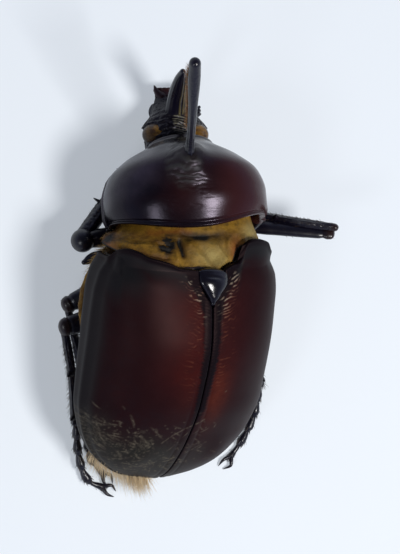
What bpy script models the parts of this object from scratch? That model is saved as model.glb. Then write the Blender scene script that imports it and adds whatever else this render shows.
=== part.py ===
"""A male golofa beetle, life size, as it dried: lying on its belly and legs, head toward +Y.

The rear half is rolled to its right and hangs tail down, the prothorax is bent head down, and the
skin of the waist shows between them. Sizes and places are in millimetres; solid() makes them metres.
"""

import math
import random
from bisect import bisect

import bmesh
import bpy
from mathutils import Matrix, Vector

MM = 0.001
GAP = 0.3
COLLECTION = "golofa_beetle"

# Pose: where the two halves meet, and how each is turned, in degrees
WAIST = (0.0, 0.0, 8.8)
SIDE_TIP = -15.0
REAR_TURN = {"pitch": 14.0, "roll": 32.0, "yaw": -6.5}
FRONT_TURN = {"pitch": -18.0, "roll": 7.3, "yaw": 4.5}
FRONT_SHIFT = (0.85, 0.0, 0.3)
HEAD_SEAT = (-0.38, 11.45, -1.0)
HEAD_TURN = {"pitch": -6.0, "roll": 0.0, "yaw": -2.0}

# Prothorax
PRONOTUM_BACK = 0.9
PRONOTUM_LONG = 10.6
PRONOTUM_WIDE = 8.15
PRONOTUM_TALL = 7.4
PRONOTUM_DEEP = 5.0
PRONOTUM_LOBE = 1.85
RIM = 0.9

# Rear half
ELYTRA_LONG = 23.2
ELYTRA_WIDE = 10.2
ELYTRA_TALL = 7.9
ELYTRON_THICK = 0.6
ELYTRA_FOLD = 2.6
SUTURE = 0.15
BELLY_DEEP = 5.6
THORAX_BACK = 8.2

# Horns, eyes and head
THORAX_HORN_LONG = 12.7
HEAD_HORN_LONG = 8.2
HEAD_LONG = 6.9
HEAD_WIDE = 3.1
EYE = (1.0, 0.95, 0.9)
EYE_SEAT = (2.25, 1.4, 0.45)

GOLD_HAIR = (0.62, 0.42, 0.16)
BLACK = (0.012, 0.009, 0.008)


def profile(*keys):
    """A smooth curve through a few (place, value) keys, with no overshoot, read by place."""
    places = [place for place, _ in keys]
    steps = [(b[1] - a[1]) / (b[0] - a[0]) for a, b in zip(keys, keys[1:])]
    inner = [2 * a * b / (a + b) if a * b > 0 else 0.0 for a, b in zip(steps, steps[1:])]
    slopes = [steps[0], *inner, steps[-1]]

    def read(place):
        i = min(max(bisect(places, place) - 1, 0), len(keys) - 2)
        span = places[i + 1] - places[i]
        t = min(max((place - places[i]) / span, 0.0), 1.0)
        near = (1 + 2 * t) * (1 - t) ** 2 * keys[i][1] + t * (1 - t) ** 2 * span * slopes[i]
        far = t * t * (3 - 2 * t) * keys[i + 1][1] - t * t * (1 - t) * span * slopes[i + 1]
        return near + far

    return read


def even(first, last, count):
    """Evenly spaced values from first to last."""
    return [first + (last - first) * i / (count - 1) for i in range(count)]


def bow(angle, power):
    """A point of the unit superellipse."""
    across, up = math.cos(angle), math.sin(angle)
    return (
        math.copysign(abs(across) ** (2 / power), across),
        math.copysign(abs(up) ** (2 / power), up),
    )


def pose(at, pitch, roll, yaw):
    """Where a half stands: rolled, then pitched, then turned."""
    turn = Matrix.Identity(4)
    for angle, axis in ((yaw, "Z"), (pitch, "X"), (roll, "Y")):
        turn = turn @ Matrix.Rotation(math.radians(angle), 4, axis)
    return Matrix.Translation(Vector(at)) @ turn


TIPPED = Matrix.Translation(Vector(WAIST)) @ Matrix.Rotation(math.radians(SIDE_TIP), 4, "Y")
REAR = TIPPED @ pose((0, 0, 0), **REAR_TURN)
FRONT = TIPPED @ pose(FRONT_SHIFT, **FRONT_TURN)
HEAD = FRONT @ pose(HEAD_SEAT, **HEAD_TURN)
FLOOR = Matrix.Identity(4)


def rear(*point):
    """Where a point of the rear half stands."""
    return REAR @ Vector(point)


def front(*point):
    """Where a point of the prothorax stands."""
    return FRONT @ Vector(point)


def loft(rings):
    """A closed mesh over rings of as many points each, with a fan at each end."""
    mesh = bmesh.new()
    loops = [[mesh.verts.new(point) for point in ring] for ring in rings]
    count = len(loops[0])
    for a, b in zip(loops, loops[1:]):
        for i in range(count):
            mesh.faces.new((a[i], a[(i + 1) % count], b[(i + 1) % count], b[i]))
    for loop in (loops[0], loops[-1]):
        middle = mesh.verts.new(sum((v.co for v in loop), Vector()) / count)
        for i in range(count):
            mesh.faces.new((loop[i], loop[(i + 1) % count], middle))
    bmesh.ops.recalc_face_normals(mesh, faces=mesh.faces)
    return mesh


def resample(ring, count):
    """As many points evenly along a closed ring."""
    turns = [i * len(ring) / count for i in range(count)]
    return [ring[int(t)].lerp(ring[(int(t) + 1) % len(ring)], t % 1) for t in turns]


def smooth_path(points, count):
    """Points evenly along a smooth curve through the given ones."""
    points = [Vector(point) for point in points]
    reach = [0.0]
    for a, b in zip(points, points[1:]):
        reach.append(reach[-1] + (b - a).length)
    curves = [profile(*((r, p[axis]) for r, p in zip(reach, points))) for axis in range(3)]
    return [Vector([curve(place) for curve in curves]) for place in even(0, reach[-1], count)]


def limb(points, wide, thick, flat, sides=8, steps=7, power=2.0):
    """A limb along a smooth path, with rounded ends.

    wide and thick are profiles of its full width and thickness by share of its length, and flat is
    the way that its thickness faces.
    """
    path = smooth_path(points, steps)
    flat = Vector(flat)
    stations = []
    for i, middle in enumerate(path):
        along = (path[min(i + 1, steps - 1)] - path[max(i - 1, 0)]).normalized()
        share = i / (steps - 1)
        stations.append((middle, along, wide(share) / 2, thick(share) / 2))
    ends = []
    for (middle, along, half, rise), way in ((stations[0], -1), (stations[-1], 1)):
        reach = min(half, rise)
        for angle in (35, 65):
            slope = math.radians(angle)
            out = middle + along * (way * reach * math.sin(slope))
            ends.append((out, along, half * math.cos(slope), rise * math.cos(slope)))
    stations = [ends[1], ends[0], *stations, ends[2], ends[3]]
    rings = []
    for middle, along, half, rise in stations:
        up = (flat - along * flat.dot(along)).normalized()
        side = along.cross(up)
        ring = []
        for k in range(sides):
            across, height = bow(math.tau * (k + 0.5) / sides, power)
            ring.append(middle + side * (across * half) + up * (height * rise))
        rings.append(ring)
    return loft(rings)


def spike(root, tip, width, sides=5, bend=(0, 0, 0)):
    """A tapered point from root to tip, bent aside by bend at its middle."""
    root, tip = Vector(root), Vector(tip)
    along = (tip - root).normalized()
    side = along.orthogonal().normalized()
    up = along.cross(side)
    rings = []
    for share, size in ((0.0, 1.0), (0.5, 0.7), (0.93, 0.25)):
        middle = root.lerp(tip, share) + Vector(bend) * (4 * share * (1 - share))
        angles = [math.tau * k / sides for k in range(sides)]
        half = width * size / 2
        rings.append([middle + side * (half * math.cos(a)) + up * (half * math.sin(a)) for a in angles])
    return loft(rings)


def oval(middle, half, segments=12, rings=8):
    """An ellipsoid of the given half sizes."""
    mesh = bmesh.new()
    bmesh.ops.create_uvsphere(mesh, u_segments=segments, v_segments=rings, radius=1.0)
    for vertex in mesh.verts:
        vertex.co = Vector([m + c * h for m, c, h in zip(middle, vertex.co, half)])
    return mesh


def material(name, colour, roughness, metallic=0.0):
    """A Principled material of one colour."""
    finish = bpy.data.materials.new(name)
    finish.use_nodes = True
    shader = finish.node_tree.nodes["Principled BSDF"]
    shader.inputs["Base Color"].default_value = (*colour, 1.0)
    shader.inputs["Roughness"].default_value = roughness
    shader.inputs["Metallic"].default_value = metallic
    return finish


def solid(name, mesh, place=FLOOR):
    """Makes an object of a mesh in millimetres, standing at a place."""
    bmesh.ops.transform(mesh, matrix=Matrix.Scale(MM, 4), verts=mesh.verts)
    data = bpy.data.meshes.new(name)
    mesh.to_mesh(data)
    mesh.free()
    thing = bpy.data.objects.new(name, data)
    bpy.data.collections[COLLECTION].objects.link(thing)
    thing.parent = bpy.data.objects["beetle_pose"]
    where = place.copy()
    where.translation *= MM
    thing.matrix_basis = where
    return thing


def largest_surface(thing):
    """The mesh that an object's modifiers give, less its smaller closed surfaces."""
    bpy.context.view_layer.update()
    shaped = thing.evaluated_get(bpy.context.evaluated_depsgraph_get())
    data = bpy.data.meshes.new_from_object(shaped)
    mesh = bmesh.new()
    mesh.from_mesh(data)
    left = set(mesh.faces)
    surfaces = []
    while left:
        found = []
        front_faces = [left.pop()]
        while front_faces:
            face = front_faces.pop()
            found.append(face)
            near = {other for edge in face.edges for other in edge.link_faces} & left
            left -= near
            front_faces.extend(near)
        surfaces.append(found)
    surfaces.sort(key=lambda faces: sum(face.calc_area() for face in faces))
    scraps = [face for faces in surfaces[:-1] for face in faces]
    bmesh.ops.delete(mesh, geom=scraps, context="FACES")
    bmesh.ops.triangulate(mesh, faces=[face for face in mesh.faces if len(face.verts) > 4])
    neat = mesh.copy()
    bmesh.ops.dissolve_degenerate(neat, dist=0.000002, edges=neat.edges)
    closed = is_closed(neat)
    if not closed:
        neat.free()
        neat = mesh.copy()
        closed = is_closed(neat)
    neat.to_mesh(data)
    neat.free()
    mesh.free()
    return data, closed


def is_closed(mesh):
    """Whether every edge of a mesh joins two faces."""
    return bool(mesh.faces) and all(edge.is_manifold for edge in mesh.edges)


def settle(thing):
    """Applies an object's modifiers."""
    data, _ = largest_surface(thing)
    thing.modifiers.clear()
    data.name = thing.name
    thing.data = data


def combine(thing, pieces, operation):
    """Joins or cuts an object with a collection of closed pieces, and removes them.

    The MANIFOLD solver takes over where the EXACT one leaves a surface open.
    """
    group = bpy.data.collections.new("pieces")
    bpy.data.collections["cutters"].children.link(group)
    for piece in pieces:
        group.objects.link(piece)
    boolean = thing.modifiers.new(operation.lower(), "BOOLEAN")
    boolean.operation = operation
    boolean.operand_type = "COLLECTION"
    boolean.collection = group
    boolean.solver = "EXACT"
    if not largest_surface(thing)[1]:
        boolean.solver = "MANIFOLD"
        if not largest_surface(thing)[1]:
            boolean.solver = "EXACT"
    settle(thing)
    for piece in pieces:
        bpy.data.objects.remove(piece)
    bpy.data.collections.remove(group)


def fuse(thing, meshes, place=FLOOR):
    """Joins meshes to an object."""
    combine(thing, [solid("piece", mesh, place) for mesh in meshes], "UNION")
    return thing


def clear_of(thing, neighbours, gap=GAP):
    """Cuts an object back so that the gap stays between it and its neighbours."""
    cutters = []
    for neighbour in neighbours:
        swollen = bpy.data.objects.new("swollen", neighbour.data.copy())
        swollen.parent = neighbour.parent
        swollen.matrix_basis = neighbour.matrix_basis
        swollen.hide_render = True
        swollen.display_type = "WIRE"
        mesh = bmesh.new()
        mesh.from_mesh(swollen.data)
        mesh.normal_update()
        shifts = [v.normal * (gap * MM * min(v.calc_shell_factor(), 1.6)) for v in mesh.verts]
        for vertex, shift in zip(mesh.verts, shifts):
            vertex.co += shift
        mesh.to_mesh(swollen.data)
        mesh.free()
        cutters.append(swollen)
    combine(thing, cutters, "DIFFERENCE")
    return thing


def flatten_foot(thing):
    """Cuts an object off at the floor, which gives it a small flat to rest on."""
    mesh = bmesh.new()
    bmesh.ops.create_cube(mesh, size=80.0)
    bmesh.ops.translate(mesh, verts=mesh.verts, vec=(0, 0, -40.0))
    combine(thing, [solid("ground", mesh)], "DIFFERENCE")
    return thing


def finish(thing, colour, roughness):
    """Gives an object its own material and smooth shading."""
    thing.data.materials.clear()
    thing.data.materials.append(material(thing.name, colour, roughness))
    thing.data.shade_smooth()
    thing.data.set_sharp_from_angle(angle=math.radians(40))
    return thing


def body_ring(station, half, top, bottom, power, count, bulge=0.0):
    """A ring across a body's long axis; its sides lie forward of its middle by bulge."""
    ring = []
    for k in range(count):
        across, up = bow(math.tau * (k + 0.5) / count, power)
        height = up * (top if up > 0 else bottom)
        ring.append(Vector((across * half, station + bulge * across * across, height)))
    return ring


# Prothorax, its horn and the waist

pronotum_half = profile((0, 0.95), (0.2, 1.0), (0.4, 1.0), (0.6, 0.94), (0.78, 0.75), (0.9, 0.51), (1, 0.37))
pronotum_top = profile((0, 0.74), (0.3, 0.95), (0.56, 1.0), (0.8, 0.78), (1, 0.4))
pronotum_under = profile((0, 0.76), (0.4, 1.0), (0.75, 0.9), (1, 0.56))
pronotum_bulge = profile((0, 1.0), (0.4, 0.25), (1, 0.0))
pronotum_power = profile((0, 2.3), (0.5, 2.2), (0.85, 1.8), (1, 1.85))


def pronotum_ring(share, inset=0.0, push=0.0):
    """A ring of the prothorax by share of its length, drawn in by inset and moved forward by push."""
    return body_ring(
        PRONOTUM_BACK + PRONOTUM_LONG * share + push,
        PRONOTUM_WIDE * pronotum_half(share) - inset,
        PRONOTUM_TALL * pronotum_top(share) - inset,
        PRONOTUM_DEEP * pronotum_under(share) - inset,
        pronotum_power(share),
        24,
        PRONOTUM_LOBE * pronotum_bulge(share),
    )


def make_pronotum():
    """The ring of the prothorax, with a rim round the hollow at its back."""
    hollow = [pronotum_ring(0.0, RIM * 1.4, 1.1), pronotum_ring(0.0, RIM, 0.05)]
    shares = (0.0, 0.06, 0.15, 0.27, 0.4, 0.52, 0.63, 0.73, 0.82, 0.9, 0.96, 1.0)
    outside = [pronotum_ring(share) for share in shares]
    nose = [pronotum_ring(1.0, 0.35, 0.25)]
    return solid("pronotum", loft(hollow + outside + nose), FRONT)


def make_pronotal_horn(pronotum):
    """The slender horn of the prothorax, with a brush of stiff hair down its front."""
    lean = math.radians(22)
    foot = Vector((-0.05, 7.3, PRONOTUM_TALL - 1.0))
    way = Vector((-0.02, math.sin(lean), math.cos(lean))).normalized()
    length = THORAX_HORN_LONG + 1.0
    points = [foot, foot + way * (0.5 * length) + Vector((0, -0.45, 0)), foot + way * (length - 0.5)]
    wide = profile((0, 2.3), (0.1, 1.3), (0.22, 0.75), (0.6, 0.92), (0.88, 1.2), (1, 1.12))
    deep = profile((0, 3.0), (0.1, 2.2), (0.25, 1.45), (0.7, 1.1), (1, 1.2))
    horn = solid("pronotal_horn", limb(points, deep, wide, (1, 0, 0), sides=10, steps=12), FRONT)
    path = smooth_path(points, 40)
    draw = random.Random(5)
    locks = []
    for i in range(14, 37, 3):
        root = path[i] + Vector((0, 0.2, 0))
        tip = root + Vector((draw.uniform(-0.2, 0.2), 1.05 + draw.uniform(-0.1, 0.1), 0.75))
        locks.append(spike(root, tip, 0.45, sides=4))
    fuse(horn, locks, FRONT)
    return clear_of(horn, [pronotum])


# Head

head_half = profile(
    (-1.6, 0.8), (0.5, 0.88), (1.6, 0.95), (2.4, 1.0), (3.0, 0.87), (3.7, 0.75), (4.9, 0.65), (6.0, 0.55),
    (6.9, 0.56)
)
head_top = profile((-1.6, 1.9), (1.5, 1.9), (3.2, 1.6), (4.9, 0.9), (6.9, 0.35))
head_under = profile((-1.6, 2.0), (1.2, 2.1), (2.6, 1.8), (3.7, 1.0), (5.3, 0.55), (6.9, 0.3))


def make_head(pronotum):
    """The head capsule, with the two sharp corners of its shield."""
    rings = [
        body_ring(y, HEAD_WIDE * head_half(y), head_top(y), head_under(y), 2.3, 20)
        for y in (-1.6, -0.4, 0.8, 1.8, 2.4, 2.75, 3.2, 3.9, 4.8, 5.8, 6.5, HEAD_LONG)
    ]
    head = solid("head", loft(rings), HEAD)
    corners = []
    for side in (-1, 1):
        root = (side * 1.2, HEAD_LONG - 0.8, 0.05)
        corners.append(spike(root, (side * 1.85, HEAD_LONG + 0.25, 0.35), 0.9, sides=6))
    fuse(head, corners, HEAD)
    return clear_of(head, [pronotum])


def make_head_horn(head):
    """The tapered horn of the head, bowed a little back."""
    foot = Vector((0, 3.3, 0.9))
    tip = foot + Vector((0.1, 0.5, HEAD_HORN_LONG))
    points = [foot, foot.lerp(tip, 0.5) + Vector((0, 0.5, 0)), tip]
    wide = profile((0, 2.3), (0.15, 2.05), (0.5, 1.75), (0.77, 1.4), (0.93, 0.95), (1, 0.6))
    deep = profile((0, 2.1), (0.15, 1.6), (0.6, 1.1), (1, 0.65))
    horn = solid("head_horn", limb(points, deep, wide, (1, 0, 0), sides=10, steps=9), HEAD)
    return clear_of(horn, [head])


def make_eye(side, name):
    """One eye, sunk half way in the side of the head."""
    middle = (side * EYE_SEAT[0], EYE_SEAT[1], EYE_SEAT[2])
    return solid(name, oval(middle, EYE, 12, 8), HEAD)


def make_mandible(side, name, head):
    """A short curved jaw under the shield."""
    points = [(side * 1.2, 3.7, -1.5), (side * 1.8, 5.0, -1.2), (side * 1.35, 6.2, -0.85)]
    wide = profile((0, 1.3), (0.6, 1.1), (1, 0.6))
    thick = profile((0, 0.7), (1, 0.5))
    jaw = solid(name, limb(points, wide, thick, (0, 0.3, 1), sides=8, steps=6), HEAD)
    return clear_of(jaw, [head])


def make_mouthparts(head):
    """The chin plate and the four jointed palps behind the jaws."""
    plate = limb(
        [(0, 1.2, -2.3), (0, 2.4, -2.3), (0, 4.2, -1.55)],
        profile((0, 1.9), (0.6, 1.7), (1, 1.0)),
        profile((0, 0.7), (1, 0.6)),
        (0, 0, 1),
        steps=5,
    )
    mouth = solid("mouthparts", plate, HEAD)
    palps = []
    bead = profile((0, 0.5), (0.3, 0.6), (0.36, 0.45), (0.6, 0.62), (0.68, 0.48), (1, 0.62))
    for side in (-1, 1):
        near = [(side * 0.3, 3.3, -2.0), (side * 0.55, 3.8, -2.0), (side * 0.7, 4.4, -1.85)]
        far = [(side * 0.6, 2.3, -2.3), (side * 1.3, 2.8, -2.35), (side * 1.6, 3.5, -2.15)]
        for points in (near, far):
            palps.append(limb(points, bead, bead, (0, 0, 1), sides=5, steps=6))
    fuse(mouth, palps, HEAD)
    return clear_of(mouth, [head])


def make_antenna(side, name, head, knuckle_out, club_reach):
    """A feeler: a stout first joint, a short beaded stalk and a club of three leaves.

    It lies folded under the cheek, its club club_reach further out than the end of the stalk.
    """
    elbow = Vector((side * 2.6, 3.6, -1.7))
    knuckle = Vector((side * knuckle_out, 4.6, -2.0))
    stem_size = profile((0, 0.55), (0.7, 0.8), (1, 0.6))
    stem = [(side * 2.0, 2.5, -1.4), (side * 2.4, 3.1, -1.6), elbow]
    antenna = solid(name, limb(stem, stem_size, stem_size, (0, 0, 1), sides=6, steps=4), HEAD)
    beads = profile((0, 0.5), (0.2, 0.55), (0.4, 0.5), (0.6, 0.6), (0.8, 0.55), (1, 0.7))
    stalk = limb([elbow, (elbow + knuckle) / 2, knuckle], beads, beads, (0, 0, 1), sides=6, steps=6)
    leaf_wide = profile((0, 0.5), (0.6, 0.7), (1, 0.6))
    leaf_thick = profile((0, 0.42), (0.5, 0.5), (1, 0.42))
    leaves = []
    for i in range(3):
        root = knuckle + Vector((-side * 0.1, -0.1 + 0.16 * i, 0))
        tip = knuckle + Vector((side * club_reach, 0.45 + 0.4 * i, 0.2))
        leaves.append(limb([root, root.lerp(tip, 0.5), tip], leaf_wide, leaf_thick, (-side * 0.2, 1, 0),
                           sides=6, steps=3))
    fuse(antenna, [stalk, *leaves], HEAD)
    return clear_of(antenna, [head])


# Rear half

elytra_half = profile(
    (0, 0.87), (0.06, 0.95), (0.15, 0.985), (0.35, 0.995), (0.6, 1.0), (0.75, 0.925), (0.86, 0.78),
    (0.93, 0.6), (0.975, 0.41), (1, 0.2),
)
elytra_top = profile(
    (0, 0.8), (0.08, 0.87), (0.33, 1.0), (0.57, 0.9), (0.76, 0.68), (0.9, 0.42), (0.96, 0.26), (1, 0.1)
)
elytra_power = profile((0, 3.0), (0.25, 2.5), (0.6, 2.25), (1, 2.2))
left_shoulder = profile(
    (0, 0), (0.32, 0.2), (0.5, 0.68), (0.64, 0.95), (0.75, 1.16), (0.84, 1.52), (0.92, 1.65), (0.97, 1.4),
    (1, 0.2),
)
right_shoulder = profile(
    (0, 0), (0.19, 0.5), (0.29, 0.65), (0.33, 1.3), (0.38, 2.5), (0.5, 2.85), (0.64, 2.75), (0.75, 2.38),
    (0.84, 1.5), (0.94, 0.85), (1, 0.4),
)


def shoulder(side):
    """How far forward the base of the wing cases runs at a place left or right of their seam."""
    reach = abs(side) / (ELYTRA_WIDE * elytra_half(0))
    return left_shoulder(reach) if side < 0 else right_shoulder(reach)


def elytra_point(side, share, angle):
    """A point of a wing case's outside, by share of its length and angle up from its side edge."""
    half = ELYTRA_WIDE * elytra_half(share) - SUTURE
    across, up = bow(angle, elytra_power(share))
    out = side * (SUTURE + half * across)
    height = up * (ELYTRA_TALL * elytra_top(share) if up > 0 else ELYTRA_FOLD)
    ahead = shoulder(out if up > 0 else side * ELYTRA_WIDE) * (1 - share) ** 4
    return Vector((out, ahead - ELYTRA_LONG * share, height))


def make_elytron(side, name):
    """One wing case: an open curved sheet, made thick inward."""
    shares = [0, 0.05, 0.12, 0.22, 0.34, 0.46, 0.58, 0.68, 0.77, 0.85, 0.91, 0.955, 0.985, 1]
    angles = [math.radians(a) for a in (90, 84, 80, 77, 72, 64, 55, 45, 36, 25, 14, 5, -6, -19)]
    mesh = bmesh.new()
    grid = []
    for share in shares:
        row = []
        for angle in angles:
            row.append(mesh.verts.new(elytra_point(side, share, angle)))
        grid.append(row)
    for a, b in zip(grid, grid[1:]):
        for i in range(len(angles) - 1):
            corners = (a[i], a[i + 1], b[i + 1], b[i])
            mesh.faces.new(corners if side < 0 else corners[::-1])
    mesh.normal_update()
    if sum(face.normal.z for face in mesh.faces) < 0:
        bmesh.ops.reverse_faces(mesh, faces=mesh.faces)
    elytron = solid(name, mesh, REAR)
    shell = elytron.modifiers.new("thickness", "SOLIDIFY")
    shell.thickness = ELYTRON_THICK * MM
    shell.offset = -1.0
    shell.use_even_offset = True
    settle(elytron)
    return elytron


def make_scutellum():
    """The small rounded shield between the bases of the wing cases."""
    points = [(0.25, -0.35, 6.15), (0.15, -1.5, 6.6), (0, -3.1, 7.0)]
    wide = profile((0, 3.3), (0.3, 3.1), (0.7, 1.6), (1, 0.5))
    thick = profile((0, 0.9), (0.6, 0.9), (1, 0.7))
    return solid("scutellum", limb(points, wide, thick, (0, 0, 1), sides=12, steps=7, power=2.4), REAR)


belly = profile((0, 0.8), (0.16, 1.02), (0.4, 0.97), (0.65, 0.8), (0.85, 0.5), (1, 0.14))

# The plate that shows left of the waist, where it stands
KNOB = [(-6.0, -0.6, 6.3), (-7.9, -0.35, 6.4), (-9.15, -0.85, 6.3)]
knob_wide = profile((0, 1.5), (0.6, 1.2), (0.85, 0.9), (1, 0.5))
knob_thick = profile((0, 1.5), (0.6, 0.9), (1, 0.5))

# The soft golden edge along the left flank, in the rear half
FLANK = [(-9.0, -0.7, -0.8), (-9.65, -2.6, -1.25), (-9.95, -5.2, -1.4), (-9.5, -7.7, -1.3)]
flank_wide = profile((0, 0.9), (0.4, 1.3), (1, 0.9))


def core_ring(share, ridge=0.0):
    """A ring of the body under the wing cases, by share of their length."""
    inset = ELYTRON_THICK + GAP + 0.2
    place = min(1.0, max(share + 0.03 * share ** 2, 0.0))
    return body_ring(
        -ELYTRA_LONG * share,
        ELYTRA_WIDE * elytra_half(place) - inset,
        max(ELYTRA_TALL * elytra_top(place) - inset, 0.3),
        BELLY_DEEP * belly(place) + ridge,
        elytra_power(place) - 0.15,
        24,
    )


def make_thorax(pronotum, elytra, scutellum):
    """The middle and hind thorax, which carries the wing cases and four of the legs."""
    rings = [core_ring(share) for share in even(0.0, THORAX_BACK / ELYTRA_LONG, 6)]
    nose = [body_ring(0.9, 6.6, 3.6, 3.4, 2.2, 24)]
    thorax = solid("thorax", loft(nose + rings), REAR)
    fuse(thorax, [limb(KNOB, knob_wide, knob_thick, (0, 0, 1), steps=5)])
    fuse(thorax, [limb(FLANK, flank_wide, flank_wide, (0, 0, 1), steps=6)], REAR)
    return clear_of(thorax, [pronotum, *elytra, scutellum])


def make_abdomen(elytra):
    """The abdomen, with its rings below, its last plate and the fringe of hair at its tip."""
    front_end = (THORAX_BACK + GAP) / ELYTRA_LONG
    shares = even(front_end, 0.955, 11)
    abdomen = solid("abdomen", loft([core_ring(share, 0.22 * (i % 2)) for i, share in enumerate(shares)]), REAR)
    draw = random.Random(8)
    locks = []
    for i in range(11):
        angle = math.radians(198 + 144 * i / 10)
        root = Vector((2.6 * math.cos(angle), -22.0, 0.2 + 1.1 * math.sin(angle)))
        out = Vector((0.75 * math.cos(angle), -1.6, 0.35 * math.sin(angle)))
        tip = root + out + Vector((draw.uniform(-0.25, 0.25), draw.uniform(-0.3, 0.3), 0))
        locks.append(spike(root, tip, 0.6, sides=4))
    fuse(abdomen, locks, REAR)
    clear_of(abdomen, elytra)
    return flatten_foot(abdomen)


def make_waist(neighbours):
    """The soft skin between the prothorax and the rear half."""
    near = pronotum_ring(0.0, RIM * 1.4 + 0.1, 0.9)
    far = core_ring(0.02)
    for point in far:
        point.y += shoulder(point.x) - 0.3
    rings = []
    for share in even(0, 1, 6):
        swell = 1 + 0.06 * math.sin(math.pi * share)
        ring = []
        for a, b in zip(near, resample(far, len(near))):
            start = FRONT @ a
            ring.append(start.lerp(REAR @ (Vector((b.x * swell, b.y, b.z * swell))), share))
        rings.append(ring)
    waist = solid("waist", loft(rings))
    return clear_of(waist, neighbours)


# Legs. Joints are given where they stand; a coxa's are given in its half of the body.

FEMUR_WIDE = profile((0, 0.62), (0.3, 1.0), (0.7, 0.9), (1, 0.8))
FEMUR_THICK = profile((0, 0.7), (0.4, 1.0), (1, 0.75))
TIBIA_THICK = profile((0, 0.85), (0.5, 0.85), (1, 1.0))

LEGS = {
    "front_left": {
        "coxa": [front(-1.5, 5.0, -4.4), front(-2.6, 4.8, -4.9), front(-3.6, 4.3, -5.0)],
        "knee": (-9.2, 1.3, 5.9),
        "shin": [(-9.3, 1.5, 5.8), (-6.2, 5.1, 3.7), (-3.0, 8.4, 1.8)],
        "foot": [(-1.9, 9.0, 1.1), (-0.7, 8.6, 0.55), (0.1, 7.5, 0.27)],
        "outward": (-0.95, 0.2, 0.25),
        "femur": (2.1, 1.9),
        "ball": 1.17,
        "shin_start": 1.3,
        "tibia": (1.6, 1.15),
        "teeth": (0.95, 0.73, 0.51),
        "tooth": 1.15,
    },
    "front_right": {
        "coxa": [front(1.5, 5.1, -4.4), front(3.0, 5.0, -4.9), front(4.6, 4.7, -4.7)],
        "knee": (16.1, 2.1, 7.5),
        "shin": [(16.4, 2.7, 8.0), (13.0, 3.25, 7.0), (7.6, 4.3, 3.6)],
        "foot": [(6.5, 5.0, 2.2), (5.2, 5.3, 0.8), (3.9, 4.8, 0.27)],
        "outward": (0.1, 0.2, 0.97),
        "femur": (1.7, 1.15),
        "tibia": (1.5, 0.95),
        "teeth": (0.95, 0.78, 0.62),
        "tooth": 0.75,
    },
    "mid_left": {
        "coxa": [rear(-1.5, -3.0, -4.9), rear(-2.3, -3.3, -5.4), rear(-3.0, -3.5, -5.3)],
        "knee": (-10.25, -5.1, 3.7),
        "shin": [(-10.2, -5.4, 3.6), (-8.8, -10.4, 2.3), (-8.0, -15.3, 1.35)],
        "foot": [(-7.75, -18.2, 0.85), (-7.2, -20.7, 0.5), (-5.9, -22.3, 0.27)],
        "outward": (0.35, 0, 0.93),
        "femur": (2.2, 1.7),
        "tibia": (1.5, 0.95),
        "teeth": (0.9, 0.55),
        "tooth": 0.75,
    },
    "mid_right": {
        "coxa": [rear(1.5, -3.0, -4.9), rear(2.3, -3.3, -5.4), rear(3.0, -3.4, -5.3)],
        "knee": (8.1, -0.6, 2.9),
        "shin": [(8.1, -0.8, 2.7), (5.3, -2.3, 1.5), (2.2, -3.3, 0.8)],
        "foot": [(0.9, -3.9, 0.6), (-0.6, -4.6, 0.4), (-2.0, -5.6, 0.27)],
        "outward": (0, -1, 0),
        "femur": (2.2, 1.2),
        "tibia": (1.5, 0.85),
        "teeth": (0.95, 0.6),
        "tooth": 0.75,
    },
    "hind_left": {
        "coxa": [rear(-1.5, -7.0, -5.1), rear(-2.6, -7.1, -5.4), rear(-3.6, -7.1, -5.2)],
        "knee": (-10.8, -7.3, 5.0),
        "shin": [(-10.8, -7.6, 4.9), (-9.75, -12.0, 3.4), (-9.0, -16.8, 1.9)],
        "foot": [(-8.75, -19.5, 1.3), (-8.1, -21.9, 0.75), (-7.3, -23.1, 0.5), (-5.9, -23.7, 0.27)],
        "outward": (-0.55, 0, 0.83),
        "femur": (2.4, 1.7),
        "tibia": (1.6, 1.0),
        "teeth": (0.95, 0.48),
        "tooth": 0.75,
    },
    "hind_right": {
        "coxa": [rear(1.5, -7.0, -5.1), rear(2.6, -7.1, -5.4), rear(3.6, -7.0, -5.1)],
        "knee": (8.6, -4.6, 2.0),
        "shin": [(8.7, -4.9, 1.95), (9.6, -9.2, 1.6), (10.45, -13.3, 1.2)],
        "foot": [(10.1, -16.1, 0.85), (9.1, -18.6, 0.5), (7.6, -20.9, 0.27)],
        "outward": (0.15, 0, 0.98),
        "femur": (2.2, 1.3),
        "tibia": (1.5, 0.9),
        "teeth": (0.93, 0.5),
        "tooth": 0.75,
    },
}


def scaled(shape, size):
    """A profile of shares made into one of millimetres."""
    return lambda share: size * shape(share)


def tibia_width(leg):
    """The width of a leg's shin by share of its length: it widens downward."""
    wide = leg["tibia"][0]
    start = leg.get("shin_start", 0.55 * wide)
    return profile((0, start), (0.15, 0.92 * start), (0.6, 0.74 * wide), (1, wide))


def make_tibia(name, leg):
    """A shin that widens downward, with teeth along its outer edge and a spur at its end."""
    width = tibia_width(leg)
    wide, thick = leg["tibia"]
    line = smooth_path(leg["shin"], 41)
    way = (line[-1] - line[0]).normalized()
    outward = Vector(leg["outward"]).normalized()
    tibia = solid("tibia_" + name, limb(
        leg["shin"], width, scaled(TIBIA_THICK, thick), outward.cross(way), sides=8, steps=7))
    points = []
    for share in leg["teeth"]:
        root = line[round(40 * share)]
        tip = root + outward * (0.5 * width(share) + leg["tooth"]) + way * 0.35
        points.append(spike(root + outward * 0.1, tip, 0.9, sides=5))
    spur = line[-1] - outward * (0.3 * wide)
    points.append(spike(spur - way * 0.3, spur + way * 1.2 - outward * 0.25, 0.6, sides=5))
    return fuse(tibia, points)


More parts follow.
